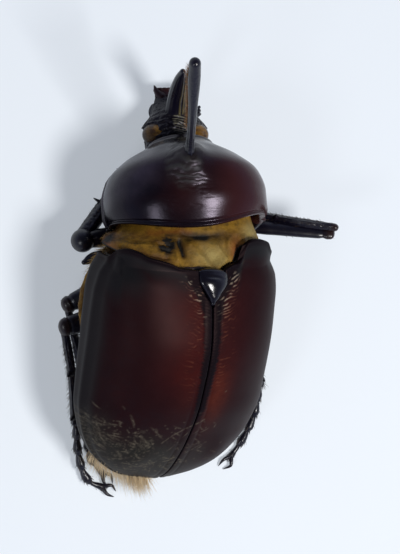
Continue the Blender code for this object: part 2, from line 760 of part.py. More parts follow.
def make_tarsus(name, leg):
    """A foot of five joints, the last with two claws, lying on the floor."""
    path = [leg["shin"][-1], *leg["foot"]]
    line = smooth_path(path, 41)
    ahead = (line[-1] - line[-4]).normalized()
    across = ahead.cross(Vector((0, 0, 1))).normalized()
    swells = profile(*((i / 15, (0.52, 0.64, 0.78)[i % 3]) for i in range(13)), (1, 0.6))
    tarsus = solid("tarsus_" + name, limb(path, swells, swells, (0, 0, 1), sides=6, steps=16))
    claws = []
    for side in (-1, 1):
        tip = line[-1] + ahead * 1.3 + across * (side * 0.75)
        tip.z = 0.2
        claws.append(spike(line[-1] - ahead * 0.15, tip, 0.55, sides=5, bend=(0, 0, 0.25)))
    fuse(tarsus, claws)
    return flatten_foot(tarsus)


def make_leg(name, leg):
    """The four nodes of one leg, each cut clear of the one before."""
    hip = Vector(leg["coxa"][-1])
    knee = Vector(leg["knee"])
    wide, thick = leg["femur"]
    bend_plane = (knee - hip).cross(Vector(leg["shin"][-1]) - knee).normalized()
    coxa = solid("coxa_" + name, limb(
        leg["coxa"], profile((0, 2.0), (0.5, 2.4), (1, 1.7)), profile((0, 1.6), (1, 1.6)), (0, 0, 1), steps=5))
    femur = solid("femur_" + name, limb(
        [hip, hip.lerp(knee, 0.5) + Vector((0, 0, 0.35)), knee], scaled(FEMUR_WIDE, wide),
        scaled(FEMUR_THICK, thick), bend_plane, sides=8, steps=7))
    if "ball" in leg:
        fuse(femur, [oval(knee, [leg["ball"]] * 3)])
    tibia = make_tibia(name, leg)
    tarsus = make_tarsus(name, leg)
    clear_of(femur, [coxa])
    clear_of(tibia, [femur])
    clear_of(tarsus, [tibia])
    return {"coxa": coxa, "femur": femur, "tibia": tibia, "tarsus": tarsus}


def stand_on_origin(pose_empty):
    """Moves the whole pose so that its box stands on the origin."""
    bpy.context.view_layer.update()
    things = [thing for thing in bpy.data.collections[COLLECTION].objects if thing.type == "MESH"]
    points = [thing.matrix_world @ vertex.co for thing in things for vertex in thing.data.vertices]
    for axis in (0, 1):
        places = [point[axis] for point in points]
        pose_empty.location[axis] = -(min(places) + max(places)) / 2
    pose_empty.location[2] = -min(point[2] for point in points)


def main():
    for thing in list(bpy.data.objects):
        bpy.data.objects.remove(thing)
    scene = bpy.context.scene.collection
    for name in (COLLECTION, "cutters"):
        scene.children.link(bpy.data.collections.new(name))
    pose_empty = bpy.data.objects.new("beetle_pose", None)
    bpy.data.collections[COLLECTION].objects.link(pose_empty)

    pronotum = make_pronotum()
    horn = make_pronotal_horn(pronotum)
    head = make_head(pronotum)
    eyes = [make_eye(-1, "eye_left"), make_eye(1, "eye_right")]
    clear_of(head, eyes)
    head_horn = make_head_horn(head)
    jaws = [make_mandible(-1, "mandible_left", head), make_mandible(1, "mandible_right", head)]
    mouth = clear_of(make_mouthparts(head), jaws)
    feelers = [
        make_antenna(-1, "antenna_left", head, 1.6, 0.3),
        make_antenna(1, "antenna_right", head, 2.0, 0.9),
    ]
    for feeler in feelers:
        clear_of(feeler, [*jaws, mouth])

    scutellum = make_scutellum()
    elytra = [make_elytron(-1, "elytron_left"), make_elytron(1, "elytron_right")]
    for elytron in elytra:
        clear_of(elytron, [scutellum])
    thorax = make_thorax(pronotum, elytra, scutellum)
    abdomen = make_abdomen(elytra)
    waist = make_waist([pronotum, thorax, scutellum, *elytra])

    legs = {name: make_leg(name, leg) for name, leg in LEGS.items()}
    fore = [legs["front_left"], legs["front_right"]]
    rest = [legs[name] for name in ("mid_left", "mid_right", "hind_left", "hind_right")]
    for leg in fore:
        clear_of(leg["femur"], [waist])
    for leg in rest:
        clear_of(leg["femur"], elytra)
    clear_of(waist, [leg["coxa"] for leg in fore])
    clear_of(pronotum, [leg[part] for leg in fore for part in ("coxa", "femur", "tibia")])
    upper = [leg[part] for leg in rest for part in ("coxa", "femur")]
    clear_of(thorax, [*upper, legs["mid_right"]["tibia"]])
    clear_of(abdomen, upper)
    for part in ("tibia", "tarsus"):
        clear_of(legs["mid_right"][part], [legs["hind_right"]["coxa"]])
    clear_of(legs["mid_left"]["tarsus"], [legs["hind_left"]["tibia"], legs["hind_left"]["tarsus"]])

    finish(pronotum, BLACK, 0.2)
    finish(horn, BLACK, 0.3)
    for thing in (head, head_horn, *jaws, mouth, *feelers, scutellum):
        finish(thing, BLACK, 0.3)
    for eye in eyes:
        finish(eye, (0.12, 0.05, 0.015), 0.15)
    for elytron in elytra:
        finish(elytron, (0.06, 0.012, 0.008), 0.25)
    finish(thorax, BLACK, 0.45)
    finish(abdomen, BLACK, 0.35)
    finish(waist, GOLD_HAIR, 0.8)
    for leg in legs.values():
        for thing in leg.values():
            finish(thing, BLACK, 0.3)
    stand_on_origin(pose_empty)


main()
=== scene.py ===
"""The looks of a dried male golofa beetle: shells, soft skin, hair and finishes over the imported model.

Sizes and places are in millimetres, in the pose that the solids were drawn in. Shape.build() moves
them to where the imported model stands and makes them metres.
"""

import math
from itertools import product

import bpy
import numpy as np
from mathutils import Matrix, Vector


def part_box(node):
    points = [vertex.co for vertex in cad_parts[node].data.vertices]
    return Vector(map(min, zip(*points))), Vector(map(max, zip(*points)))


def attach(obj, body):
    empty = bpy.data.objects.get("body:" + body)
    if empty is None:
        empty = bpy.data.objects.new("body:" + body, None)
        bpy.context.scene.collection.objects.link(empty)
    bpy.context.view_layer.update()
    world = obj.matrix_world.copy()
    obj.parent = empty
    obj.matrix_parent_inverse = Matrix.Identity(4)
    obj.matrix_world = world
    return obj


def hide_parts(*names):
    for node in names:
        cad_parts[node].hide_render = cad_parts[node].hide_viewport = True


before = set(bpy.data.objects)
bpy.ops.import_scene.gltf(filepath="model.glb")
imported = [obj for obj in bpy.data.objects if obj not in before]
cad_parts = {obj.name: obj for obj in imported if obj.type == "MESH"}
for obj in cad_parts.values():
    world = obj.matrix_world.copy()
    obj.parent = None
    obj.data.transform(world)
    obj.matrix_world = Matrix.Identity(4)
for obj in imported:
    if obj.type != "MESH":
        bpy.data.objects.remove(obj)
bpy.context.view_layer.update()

MM = 0.001
TURN = 2 * math.pi

# Pose: where the two halves of the body meet and how each is turned, in degrees
WAIST = (0.0, 0.0, 8.8)
SIDE_TIP = -15.0
REAR_TURN = {"pitch": 14.0, "roll": 32.0, "yaw": -6.5}
FRONT_TURN = {"pitch": -18.0, "roll": 7.3, "yaw": 4.5}
FRONT_SHIFT = (0.85, 0.0, 0.3)
HEAD_SEAT = (-0.38, 11.45, -1.0)
HEAD_TURN = {"pitch": -6.0, "roll": 0.0, "yaw": -2.0}

# Prothorax
PRONOTUM_BACK = 0.9
PRONOTUM_LONG = 10.6
PRONOTUM_WIDE = 8.15
PRONOTUM_TALL = 7.4
PRONOTUM_DEEP = 5.0
PRONOTUM_LOBE = 1.85
RIM = 0.9

# Rear half
ELYTRA_LONG = 23.2
ELYTRA_WIDE = 10.2
ELYTRA_TALL = 7.9
ELYTRON_THICK = 0.6
ELYTRA_FOLD = 2.6
EDGE_ROUND = 0.12
CORE_GAP = 0.5
SUTURE = 0.15
BELLY_DEEP = 5.6
THORAX_BACK = 8.2

# Horns, eyes and head
THORAX_HORN_LONG = 12.7
HORN_FOOT = (-0.05, 7.3, PRONOTUM_TALL - 1.0)
HORN_LEAN = math.radians(22)
HEAD_HORN_LONG = 8.2
HEAD_LONG = 6.9
HEAD_WIDE = 3.1
EYE = (1.0, 0.95, 0.9)
EYE_SEAT = (2.25, 1.4, 0.45)

# What the scene draws a little otherwise than the solids: how much fuller the eyes are and how far they
# are moved, how far forward the prothorax's rear rim runs at the right, how much thinner the wing cases
# are, and how far in the flank's strip is
EYE_SWELL = (1.25, 1.2, 1.15)
EYE_SHIFT = (-0.15, -0.1, 0.3)
RIM_SKEW = 0.7
ELYTRON_SLIM = 0.1
FLANK_INSET = 0.35

# How many hairs each coat has, how many bristles a limb has and how long the longest are, how deep the
# body's hairs root, and how far hair sags by its length
BRUSH_HAIRS = 2000
WAIST_HAIRS = 3600
BREAST_HAIRS = 5200
TAIL_HAIRS = 3600
FEMUR_BRISTLES = (70, 0.3)
FORE_TIBIA_BRISTLES = (170, 0.4)
TIBIA_BRISTLES = (340, 0.65)
TOE_BRISTLES = 24
ROOT_DEPTH = 0.03
SAG = np.array((0.0, 0.0, -0.1))

# The share of an unwrap's side that one hair takes up
TUFT_PATCH = 0.003


# Curves and grids of points

def profile(*keys):
    """A smooth curve through a few (place, value) keys, with no overshoot, read by place."""
    places, values = np.array(keys, dtype=float).T
    steps = np.diff(values) / np.diff(places)
    rising = steps[:-1] * steps[1:]
    total = np.where(rising > 0, steps[:-1] + steps[1:], 1.0)
    inner = np.where(rising > 0, 2 * rising / total, 0.0)
    slopes = np.concatenate([steps[:1], inner, steps[-1:]])

    def read(place):
        place = np.asarray(place, dtype=float)
        i = np.clip(np.searchsorted(places, place, side="right") - 1, 0, len(places) - 2)
        span = places[i + 1] - places[i]
        t = np.clip((place - places[i]) / span, 0.0, 1.0)
        near = (1 + 2 * t) * (1 - t) ** 2 * values[i] + t * (1 - t) ** 2 * span * slopes[i]
        far = t * t * (3 - 2 * t) * values[i + 1] - t * t * (1 - t) * span * slopes[i + 1]
        return near + far

    return read


def bow(angle, power):
    """Points of the unit superellipse."""
    across, up = np.cos(angle), np.sin(angle)
    return np.sign(across) * np.abs(across) ** (2 / power), np.sign(up) * np.abs(up) ** (2 / power)


def even_angles(first, last, count, wide, tall, power):
    """Angles that space points evenly along a superellipse."""
    fine = np.linspace(first, last, 4001)
    across, up = bow(fine, power)
    steps = np.hypot(np.diff(wide * across), np.diff(tall * up))
    reach = np.concatenate([[0.0], np.cumsum(steps)])
    return np.interp(np.linspace(0, reach[-1], count), reach, fine)


def hump(distance, width):
    """A smooth hump, 1 at its middle and about a third at the given width from it."""
    return np.exp(-((distance / width) ** 2))


def ramp(value, low, high):
    """Rises smoothly from 0 at low to 1 at high."""
    t = np.clip((value - low) / (high - low), 0.0, 1.0)
    return t * t * (3 - 2 * t)


def window(value, start, full, fade, stop):
    """Rises smoothly from 0 at start to 1 at full, and falls from 1 at fade to 0 at stop."""
    return ramp(value, start, full) * ramp(value, stop, fade)


def spot(x, y, middle, spread):
    """A smooth spot, 1 at its middle, with a spread along each of its two axes."""
    return hump(np.hypot((x - middle[0]) / spread[0], (y - middle[1]) / spread[1]), 1.0)


def scramble(cells, seed):
    """A repeatable number from 0 to 1 for each cell, given by its whole-number coordinates."""
    key = np.full(cells.shape[:-1], seed * 2654435 + 12345, dtype=np.int64)
    for axis in range(cells.shape[-1]):
        key = ((key ^ (cells[..., axis] * (73856093 + 104729 * axis))) * 668265263) & 0xFFFFFFFF
        key ^= key >> 15
    return ((key * 374761393) & 0xFFFFFF) / 0xFFFFFF


def mottle(points, size, seed=0):
    """Smooth noise from -1 to 1, with lumps of the given size, which may differ by axis."""
    scaled = points / np.asarray(size, dtype=float)
    low = np.floor(scaled).astype(np.int64)
    t = scaled - low
    t = t * t * (3 - 2 * t)
    total = np.zeros(points.shape[:-1])
    for corner in product((0, 1), repeat=points.shape[-1]):
        weight = np.prod(np.where(np.array(corner) == 1, t, 1 - t), axis=-1)
        total += weight * (2 * scramble(low + np.array(corner), seed) - 1)
    return total


def crinkle(points, size, seed=0, octaves=4):
    """Noise of several sizes, each half as large and half as strong as the one before."""
    total = np.zeros(points.shape[:-1])
    for octave in range(octaves):
        total += mottle(points, np.asarray(size) / 2 ** octave, seed + octave) / 2 ** octave
    return total


def creases(points, size, seed=0, octaves=3):
    """Sharp creases from 0 to 1, as in folded skin."""
    return 1 - np.minimum(np.abs(crinkle(points, size, seed, octaves)) * 2.2, 1.0)


def pits(across, along, spacing, size, seed=0, jitter=0.35):
    """Round pits from 0 to 1 deep, one to a square of the given spacing, each moved a little."""
    scaled = np.stack([across, along], axis=-1) / spacing
    low = np.floor(scaled).astype(np.int64)
    deepest = np.zeros(scaled.shape[:-1])
    for offset in product((-1, 0, 1), repeat=2):
        cell = low + np.array(offset)
        shift = np.stack([scramble(cell, seed), scramble(cell, seed + 50)], axis=-1) - 0.5
        away = np.linalg.norm(scaled - cell - 0.5 - 2 * jitter * shift, axis=-1) * spacing
        deepest = np.maximum(deepest, np.clip(1 - (away / size) ** 2, 0, 1))
    return deepest


def pose(at, pitch=0.0, roll=0.0, yaw=0.0):
    """Where a half stands: rolled, then pitched, then turned."""
    turn = Matrix.Identity(4)
    for angle, axis in ((yaw, "Z"), (pitch, "X"), (roll, "Y")):
        turn = turn @ Matrix.Rotation(math.radians(angle), 4, axis)
    return Matrix.Translation(Vector(at)) @ turn


def moved(place, points):
    """Points of one half, where they stand."""
    matrix = np.array(place)
    return np.asarray(points, dtype=float) @ matrix[:3, :3].T + matrix[:3, 3]


TIPPED = pose(WAIST, roll=SIDE_TIP)
REAR = TIPPED @ pose((0, 0, 0), **REAR_TURN)
FRONT = TIPPED @ pose(FRONT_SHIFT, **FRONT_TURN)
HEAD = FRONT @ pose(HEAD_SEAT, **HEAD_TURN)


def packed_shift():
    """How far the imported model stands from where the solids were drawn, by its two eyes."""
    shifts = []
    for side, node in ((-1, "eye_left"), (1, "eye_right")):
        low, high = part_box(node)
        drawn = moved(HEAD, np.array(EYE_SEAT) * (side, 1, 1))
        shifts.append(np.array((low + high) / 2) / MM - drawn)
    return np.mean(shifts, axis=0)


SHIFT = packed_shift()


def row_ways(grid, wrap=True):
    """The steps of a grid of points down its columns and along its rows, which close if wrap is true."""
    down = np.gradient(grid, axis=0)
    if wrap:
        return down, (np.roll(grid, -1, axis=1) - np.roll(grid, 1, axis=1)) / 2
    return down, np.gradient(grid, axis=1)


def unit(vectors):
    """Vectors made 1 long."""
    return vectors / np.maximum(np.linalg.norm(vectors, axis=-1, keepdims=True), 1e-9)


def outward(grid, wrap=True):
    """A grid's unit normals, away from its middle."""
    down, side = row_ways(grid, wrap)
    normals = unit(np.cross(down, side))
    if np.sum(normals * (grid - grid.mean(axis=(0, 1)))) < 0:
        normals = -normals
    return normals


def raised(grid, height, wrap=True):
    """A grid with each point moved out by a height."""
    return grid + outward(grid, wrap) * np.asarray(height)[..., None]


def smooth_path(points, count):
    """Points evenly along a smooth curve through the given ones."""
    points = np.array([tuple(point) for point in points], dtype=float)
    reach = np.concatenate([[0.0], np.cumsum(np.linalg.norm(np.diff(points, axis=0), axis=1))])
    places = np.linspace(0, reach[-1], count)
    return np.stack([profile(*zip(reach, points[:, axis]))(places) for axis in range(3)], axis=-1)


def away_from_line(places, start, stop):
    """How far places are from a line between two of them."""
    start, stop = np.array(start), np.array(stop)
    way = stop - start
    t = np.clip((places - start) @ way / (way @ way), 0, 1)
    return np.linalg.norm(places - start - t[..., None] * way, axis=-1)


def grid_of(x, y, z):
    """A grid of points from their coordinates, each of which may be a grid, a row, a column or a number."""
    return np.stack(np.broadcast_arrays(x, y, z), axis=-1)


def ball(cols, rows):
    """Points of the unit ball, ring by ring."""
    turn = np.linspace(0, TURN, cols + 1)[None, :-1]
    tilt = np.linspace(-math.pi / 2, math.pi / 2, rows + 2)[1:-1, None]
    return grid_of(np.cos(tilt) * np.cos(turn), np.cos(tilt) * np.sin(turn), np.sin(tilt))


def tube(points, wide, thick=None, flat=(0, 0, 1), rows=40, cols=24, power=2.0, rounds=6):
    """A limb's grid of points with rounded ends, and each point's share of its length and angle.

    wide and thick are profiles of its full width and thickness by share, and flat is the way that
    its thickness faces. A tube with no thickness given is round.
    """
    thick = thick or wide
    path = smooth_path(points, rows)
    along = unit(np.gradient(path, axis=0))
    share = np.linspace(0, 1, rows)
    half, rise = np.broadcast_to(wide(share) / 2, rows), np.broadcast_to(thick(share) / 2, rows)
    slopes = np.linspace(0, math.pi / 2, rounds + 2)[1:-1]
    starts, stops = np.sin(slopes)[::-1], np.sin(slopes)
    first, last = min(half[0], rise[0]), min(half[-1], rise[-1])
    path = np.concatenate([
        path[0] - along[0] * (first * starts)[:, None], path, path[-1] + along[-1] * (last * stops)[:, None]])
    shrink = np.cos(slopes)
    half = np.concatenate([half[0] * shrink[::-1], half, half[-1] * shrink])
    rise = np.concatenate([rise[0] * shrink[::-1], rise, rise[-1] * shrink])
    along = np.concatenate([np.repeat(along[:1], rounds, 0), along, np.repeat(along[-1:], rounds, 0)])
    share = np.concatenate([np.zeros(rounds), share, np.ones(rounds)])
    flat = np.array(flat, dtype=float)
    up = unit(flat - along * (along @ flat)[:, None])
    side = np.cross(along, up)
    angle = (np.arange(cols) + 0.5) * TURN / cols
    across, height = bow(angle, power)
    grid = (path[:, None] + side[:, None] * (half[:, None] * across)[..., None]
            + up[:, None] * (rise[:, None] * height)[..., None])
    return grid, np.repeat(share[:, None], cols, 1), np.repeat(angle[None], len(share), 0)


def linked(name, data):
    """A new object, linked to the scene."""
    made = bpy.data.objects.new(name, data)
    bpy.context.scene.collection.objects.link(made)
    return made


class Shape:
    """The points, faces and marks of one piece as they are gathered."""

    def __init__(self):
        self.points, self.faces, self.marks, self.patches = [], [], [], []
        self.count = 0

    def add(self, points, faces, marks, patches=None):
        """Adds points and their groups of faces, turned so that they face out."""
        points = points.reshape(-1, 3)
        middle = points.mean(axis=0)
        out = 0.0
        for group in faces:
            corners = [points[group[:, k]] - middle for k in range(group.shape[1])]
            for b, c in zip(corners[1:], corners[2:]):
                out += np.sum(corners[0] * np.cross(b, c))
        for group in faces:
            turned = group if out >= 0 else group[:, ::-1]
            self.faces += (turned + self.count).tolist()
        self.points.append(points)
        self.marks.append((len(points), marks))
        self.patches.append(np.zeros((len(points), 2)) if patches is None else patches)
        self.count += len(points)

    def add_grid(self, grid, marks=None, zipped=False):
        """Adds closed rings of points; each end is closed by a fan, or zipped up where the rings are flat."""
        rows, cols = grid.shape[:2]
        i, j = np.meshgrid(np.arange(rows - 1), np.arange(cols), indexing="ij")
        k = (j + 1) % cols
        quads = np.stack([i * cols + j, i * cols + k, (i + 1) * cols + k, (i + 1) * cols + j], axis=-1)
        faces = [quads.reshape(-1, 4)]
        points = grid.reshape(-1, 3)
        marks = {name: np.broadcast_to(mark, (rows, cols)).ravel() for name, mark in (marks or {}).items()}
        for row, way in ((0, -1), (rows - 1, 1)):
            if zipped:
                at = np.arange(cols // 2 - 1)
                strip = np.stack([at, at + 1, cols - 2 - at, cols - 1 - at], axis=-1)
                faces.append((row * cols + strip)[:, ::way])
            else:
                ring = row * cols + np.arange(cols)
                tip = np.full(cols, len(points))
                fan = np.stack([ring, np.roll(ring, -1), tip], axis=-1)
                faces.append(fan[:, ::way])
                points = np.concatenate([points, grid[row].mean(axis=0)[None]])
                marks = {name: np.append(mark, mark[row * cols]) for name, mark in marks.items()}
        self.add(points, faces, marks)

    def add_hairs(self, roots, ways, lengths, width, bends, places, seed, steps=4):
        """Adds bent three-sided hairs that taper to a point; places are their roots on an unwrap."""
        draw = np.random.default_rng(seed)
        count = len(roots)
        lengths = np.broadcast_to(lengths, count)[:, None]
        ways = unit(ways)
        side = unit(np.cross(ways, draw.normal(size=(count, 3))))
        up = np.cross(ways, side)
        t = np.linspace(0, 1, steps + 1)
        path = roots[:, None] + (ways * lengths)[:, None] * t[None, :, None]
        path = path + (bends * lengths)[:, None] * (t ** 2)[None, :, None]
        turn = np.arange(3) * TURN / 3
        ring = side[:, None] * np.cos(turn)[None, :, None] + up[:, None] * np.sin(turn)[None, :, None]
        size = width * (0.5 * (1 - t[:-1] ** 1.5) + 0.05)[None, :, None, None]
        rings = path[:, :-1, None] + ring[:, None] * size
        points = np.concatenate([rings.reshape(count, -1, 3), path[:, -1:]], axis=1)
        each = 3 * steps + 1
        quads, tips = [], []
        for k in range(3):
            n = (k + 1) % 3
            quads += [(3 * s + k, 3 * s + n, 3 * s + 3 + n, 3 * s + 3 + k) for s in range(steps - 1)]
            tips.append((3 * steps - 3 + k, 3 * steps - 3 + n, each - 1))
        tips.append((2, 1, 0))
        first = np.arange(count)[:, None, None] * each
        faces = [(first + np.array(quads)).reshape(-1, 4), (first + np.array(tips)).reshape(-1, 3)]
        reach = np.append(np.repeat(t[:-1], 3), 1.0)
        patch = np.stack([np.append(np.tile(np.arange(3), steps), 1) / 2, reach], axis=-1) * TUFT_PATCH
        places = (places[:, None] * (1 - TUFT_PATCH) + patch).reshape(-1, 2)
        tone = np.repeat(draw.random(count), each)
        self.add(points, faces, {"tone": tone, "reach": np.tile(reach, count)}, places)

    def build(self, name, finish, slot, *replaced, coat=False):
        """Makes the piece, which rides on the body and stands for the nodes it replaces."""
        mesh = bpy.data.meshes.new(name)
        points = (np.concatenate(self.points) + SHIFT) * MM
        points[:, 2] = np.maximum(points[:, 2], 0.0)
        mesh.from_pydata(points.tolist(), [], self.faces)
        for key in sorted({key for _, marks in self.marks for key in marks}):
            values = [marks.get(key, np.zeros(count)) for count, marks in self.marks]
            mesh.attributes.new(key, "FLOAT", "POINT").data.foreach_set("value", np.concatenate(values))
        if coat:
            corners = np.zeros(len(mesh.loops), dtype=np.int32)
            mesh.loops.foreach_get("vertex_index", corners)
            patches = np.concatenate(self.patches)[corners]
            mesh.uv_layers.new(name="OFBake").data.foreach_set("uv", patches.ravel())
        mesh.shade_smooth()
        mesh.materials.append(FINISHES[finish])
        piece = linked(name, mesh)
        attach(piece, "root")
        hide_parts(*replaced)


def make_skin(name, grid, finish, slot, node, zipped=False, **marks):
    """Makes a piece that is one closed grid of points, with its marks."""
    shape = Shape()
    shape.add_grid(grid, marks, zipped)
    shape.build(name, finish, slot, node)


def scatter(grid, weight, count, seed):
    """Places spread over a grid by weight: points, normals, the ways down it, and unwrap places."""
    draw = np.random.default_rng(seed)
    down, side = row_ways(grid)
    area = np.linalg.norm(np.cross(down, side), axis=-1) * np.clip(weight, 0, None)
    chance = area[:-1, :-1].ravel()
    picks = draw.choice(len(chance), size=count, p=chance / chance.sum())
    rows, cols = grid.shape[:2]
    i, j = np.divmod(picks, cols - 1)
    u, v = draw.random((2, count, 1))

    def at(field):
        low = field[i, j] * (1 - v) + field[i, j + 1] * v
        return low * (1 - u) + (field[i + 1, j] * (1 - v) + field[i + 1, j + 1] * v) * u

    normals = unit(at(outward(grid)))
    places = np.concatenate([(j[:, None] + v) / cols, (i[:, None] + u) / rows], axis=1)
    return at(grid), normals, unit(at(down)), places


def leaning_hairs(grid, weight, count, seed, rise, run, spread, shortest, longest):
    """Hairs spread over a grid by weight: roots, normals, ways, lengths and places on an unwrap.

    They rise from the grid and run down it by the given amounts, with a spread between them.
    """
    roots, normals, down, places = scatter(grid, weight, count, seed)
    draw = np.random.default_rng(seed + 1)
    ways = normals * rise + down * run + draw.normal(scale=spread, size=roots.shape)
    return roots, normals, ways, draw.uniform(shortest, longest, count), places


def plant(name, finish, slot, node, roots, ways, bends, place=None, **rest):
    """Makes a coat of hairs whose roots, ways and bends are given in the half that stands at a place."""
    if place is not None:
        turn = np.array(place)[:3, :3].T
        roots, ways, bends = moved(place, roots), ways @ turn, bends @ turn
    shape = Shape()
    shape.add_hairs(roots, ways, bends=bends, **rest)
    shape.build(name, finish, slot, node, coat=True)


# Finishes

class Socket:
    """An output of a node; arithmetic on it adds Math nodes."""

    def __init__(self, nodes, output):
        self.nodes, self.output = nodes, output

    def math(self, operation, *terms, clamp=False):
        """A Math node on its terms."""
        settings = {"operation": operation, "use_clamp": clamp}
        return self.nodes.node("ShaderNodeMath", settings, dict(enumerate(terms)))

    def __add__(self, other):
        return self.math("ADD", self, other)

    def __sub__(self, other):
        return self.math("SUBTRACT", self, other)

    def __rsub__(self, other):
        return self.math("SUBTRACT", other, self)

    def __mul__(self, other):
        return self.math("MULTIPLY", self, other)

    __radd__ = __add__
    __rmul__ = __mul__

    def clamped(self):
        """Held between 0 and 1."""
        return self.math("ADD", self, 0.0, clamp=True)

    def between(self, low, high):
        """0 below low, 1 above high and a smooth rise between."""
        settings = {"interpolation_type": "SMOOTHSTEP"}
        return self.nodes.node("ShaderNodeMapRange", settings, {0: self, 1: low, 2: high})


class Nodes:
    """A node tree as it is made; every node in it comes from node()."""

    def __init__(self, tree):
        self.tree = tree
        self.tree.nodes.clear()

    def node(self, kind, settings=None, inputs=None, output=0):
        """Adds a node: its settings first, then the values or links of its sockets."""
        node = self.tree.nodes.new(kind)
        for key, value in (settings or {}).items():
            if key == "stops":
                for _ in value[2:]:
                    node.color_ramp.elements.new(0.5)
                for element, (where, colour) in zip(node.color_ramp.elements, value):
                    element.position, element.color = where, (*colour, 1.0)
            else:
                setattr(node, key, value)
        for key, value in (inputs or {}).items():
            if isinstance(value, Socket):
                self.tree.links.new(value.output, node.inputs[key])
            else:
                node.inputs[key].default_value = value
        return Socket(self, node.outputs[output]) if node.outputs else None


class Finish(Nodes):
    """A material's nodes, which read places on the shape and the marks that it carries."""

    def __init__(self, name):
        self.material = bpy.data.materials.new(name)
        self.material.use_nodes = True
        super().__init__(self.material.node_tree)
        self.place = self.node("ShaderNodeTexCoord", output="Object")

    def mark(self, name):
        """A mark that the shape carries at each of its points."""
        return self.node("ShaderNodeAttribute", {"attribute_name": name}, output="Fac")

    def noise(self, size, detail=3.0, stretch=(1, 1, 1), rough=0.55):
        """Noise with lumps of a size in millimetres, stretched along the axes."""
        squeeze = {0: self.place, 1: [1 / s for s in stretch]}
        place = self.node("ShaderNodeVectorMath", {"operation": "MULTIPLY"}, squeeze)
        inputs = {"Vector": place, "Scale": 1 / (size * MM), "Detail": detail, "Roughness": rough}
        return self.node("ShaderNodeTexNoise", {}, inputs)

    def cells(self, size, feature="F1"):
        """Distance from the middles, or the borders, of cells of a size in millimetres."""
        inputs = {"Vector": self.place, "Scale": 1 / (size * MM)}
        return self.node("ShaderNodeTexVoronoi", {"feature": feature}, inputs, "Distance")

    def blend(self, factor, low, high):
        """A colour between two, by a factor."""
        low, high = ((*c, 1.0) if isinstance(c, tuple) else c for c in (low, high))
        return self.node("ShaderNodeMix", {"data_type": "RGBA"}, {0: factor, 6: low, 7: high}, output=2)

    def layers(self, colour, *coats):
        """A colour with others laid over it in turn, each by a factor."""
        for factor, over in coats:
            colour = self.blend(factor, colour, over)
        return colour

    def bump(self, height, depth):
        """A normal bent by a height from 0 to 1 that stands for a depth in millimetres."""
        return self.node("ShaderNodeBump", {}, {"Height": height, "Distance": depth * MM})

    def shell(self, colour, roughness, normal=None, **sockets):
        """Ends the finish with a shader; other sockets are named with _ for a space."""
        inputs = {"Base Color": colour, "Roughness": roughness}
        if normal is not None:
            inputs["Normal"] = normal
        inputs.update({key.replace("_", " "): value for key, value in sockets.items()})
        shader = self.node("ShaderNodeBsdfPrincipled", {}, inputs)
        self.node("ShaderNodeOutputMaterial", {}, {"Surface": shader})
        return self.material


# Colours of the shells, the skin and the eyes, from the photo's tones
JET = (0.0022, 0.0014, 0.0028)
BLUE_BLACK = (0.0040, 0.0033, 0.0092)
RED_CAST_AND_SHEEN = (0.030, 0.0080, 0.0080)
SHOULDER_SHEEN = (0.030, 0.024, 0.036)
MAROON = (0.0135, 0.0032, 0.0042)
WINE = (0.0068, 0.0018, 0.0030)
RED = (0.032, 0.0026, 0.0022)
EMBER = (0.11, 0.018, 0.006)
SLATE_AND_SHEEN = (0.0075, 0.0082, 0.0095)
OLIVE_BLACK = (0.0120, 0.0125, 0.0105)
DUST = (0.17, 0.145, 0.105)
GOLD = (0.235, 0.125, 0.013)
OCHRE = (0.105, 0.050, 0.005)
WRINKLE_GREY = (0.022, 0.021, 0.019)
PLUM = (0.0085, 0.0034, 0.0050)
PAINTED_GLINT = (0.20, 0.066, 0.034)
PAINTED_SPARKLE = (0.33, 0.27, 0.20)
OLIVE_YELLOW = (0.13, 0.105, 0.042)
DARK_RED = (0.024, 0.0065, 0.006)
STONE = (0.12, 0.112, 0.082)
AMBER = (0.33, 0.165, 0.020)
DEEP_AMBER = (0.075, 0.030, 0.005)
EYE_RIM = (0.022, 0.009, 0.005)
MOSS = (0.060, 0.036, 0.006)
CREAM_GOLD = (0.33, 0.245, 0.080)
ORANGE = (0.20, 0.060, 0.010)
FOLD_SHADE_AND_TONE = (0.075, 0.030, 0.006)
BLOTCH_AND_SHADE = (0.008, 0.007, 0.006)
JOINT_BROWN = (0.016, 0.0065, 0.0065)
BELLY_BLACK = (0.007, 0.0045, 0.004)
BELLY_BROWN = (0.036, 0.013, 0.008)
SEAM_TAN = (0.10, 0.05, 0.018)

# Colours of each kind of hair, at its root and its tip
HAIR_TONES = {
    "gold_hair": ((0.17, 0.080, 0.018), (0.52, 0.33, 0.10)),
    "cream_hair": ((0.34, 0.18, 0.06), (0.78, 0.62, 0.38)),
    "tan_hair": ((0.20, 0.085, 0.03), (0.55, 0.30, 0.13)),
    "black_bristle": ((0.008, 0.006, 0.006), (0.05, 0.025, 0.012)),
}


def pronotum_finish():
    """Polished black shell with a deep red cast, grey and dull in the wrinkles at the horn's foot; a
    red-brown reflection is painted down its right side and a blue-grey sheen on its left shoulder.
    """
    finish = Finish("pronotum_polish")
    drift = finish.noise(2.6, 4.0)
    grain = finish.noise(0.14, 3.0)
    dents = finish.noise(0.55, 2.0, stretch=(1.6, 1, 1))
    punctures = finish.cells(0.3).between(0.16, 0.05)
    wrinkle = finish.mark("wrinkle")
    colour = finish.layers(
        JET,
        # A deep red cast, and a red-brown reflection painted down the right side
        (finish.mark("red") * 1.1 + drift * 0.5 - 0.25, RED_CAST_AND_SHEEN),
        # A streaky blue-grey sheen painted on the left shoulder, as a reflection
        (finish.mark("bloom") * (drift * 1.8 - 0.4), SHOULDER_SHEEN),
        (wrinkle, WRINKLE_GREY))
    roughness = 0.17 + 0.08 * drift + 0.26 * wrinkle + 0.04 * grain
    normal = finish.bump(grain * 0.2 + dents * 1.5 - punctures * 0.3, 0.007)
    tint = (0.90, 0.80, 1.0, 1.0)
    return finish.shell(colour, roughness, normal, IOR=1.45, Specular_IOR_Level=0.27, Specular_Tint=tint)


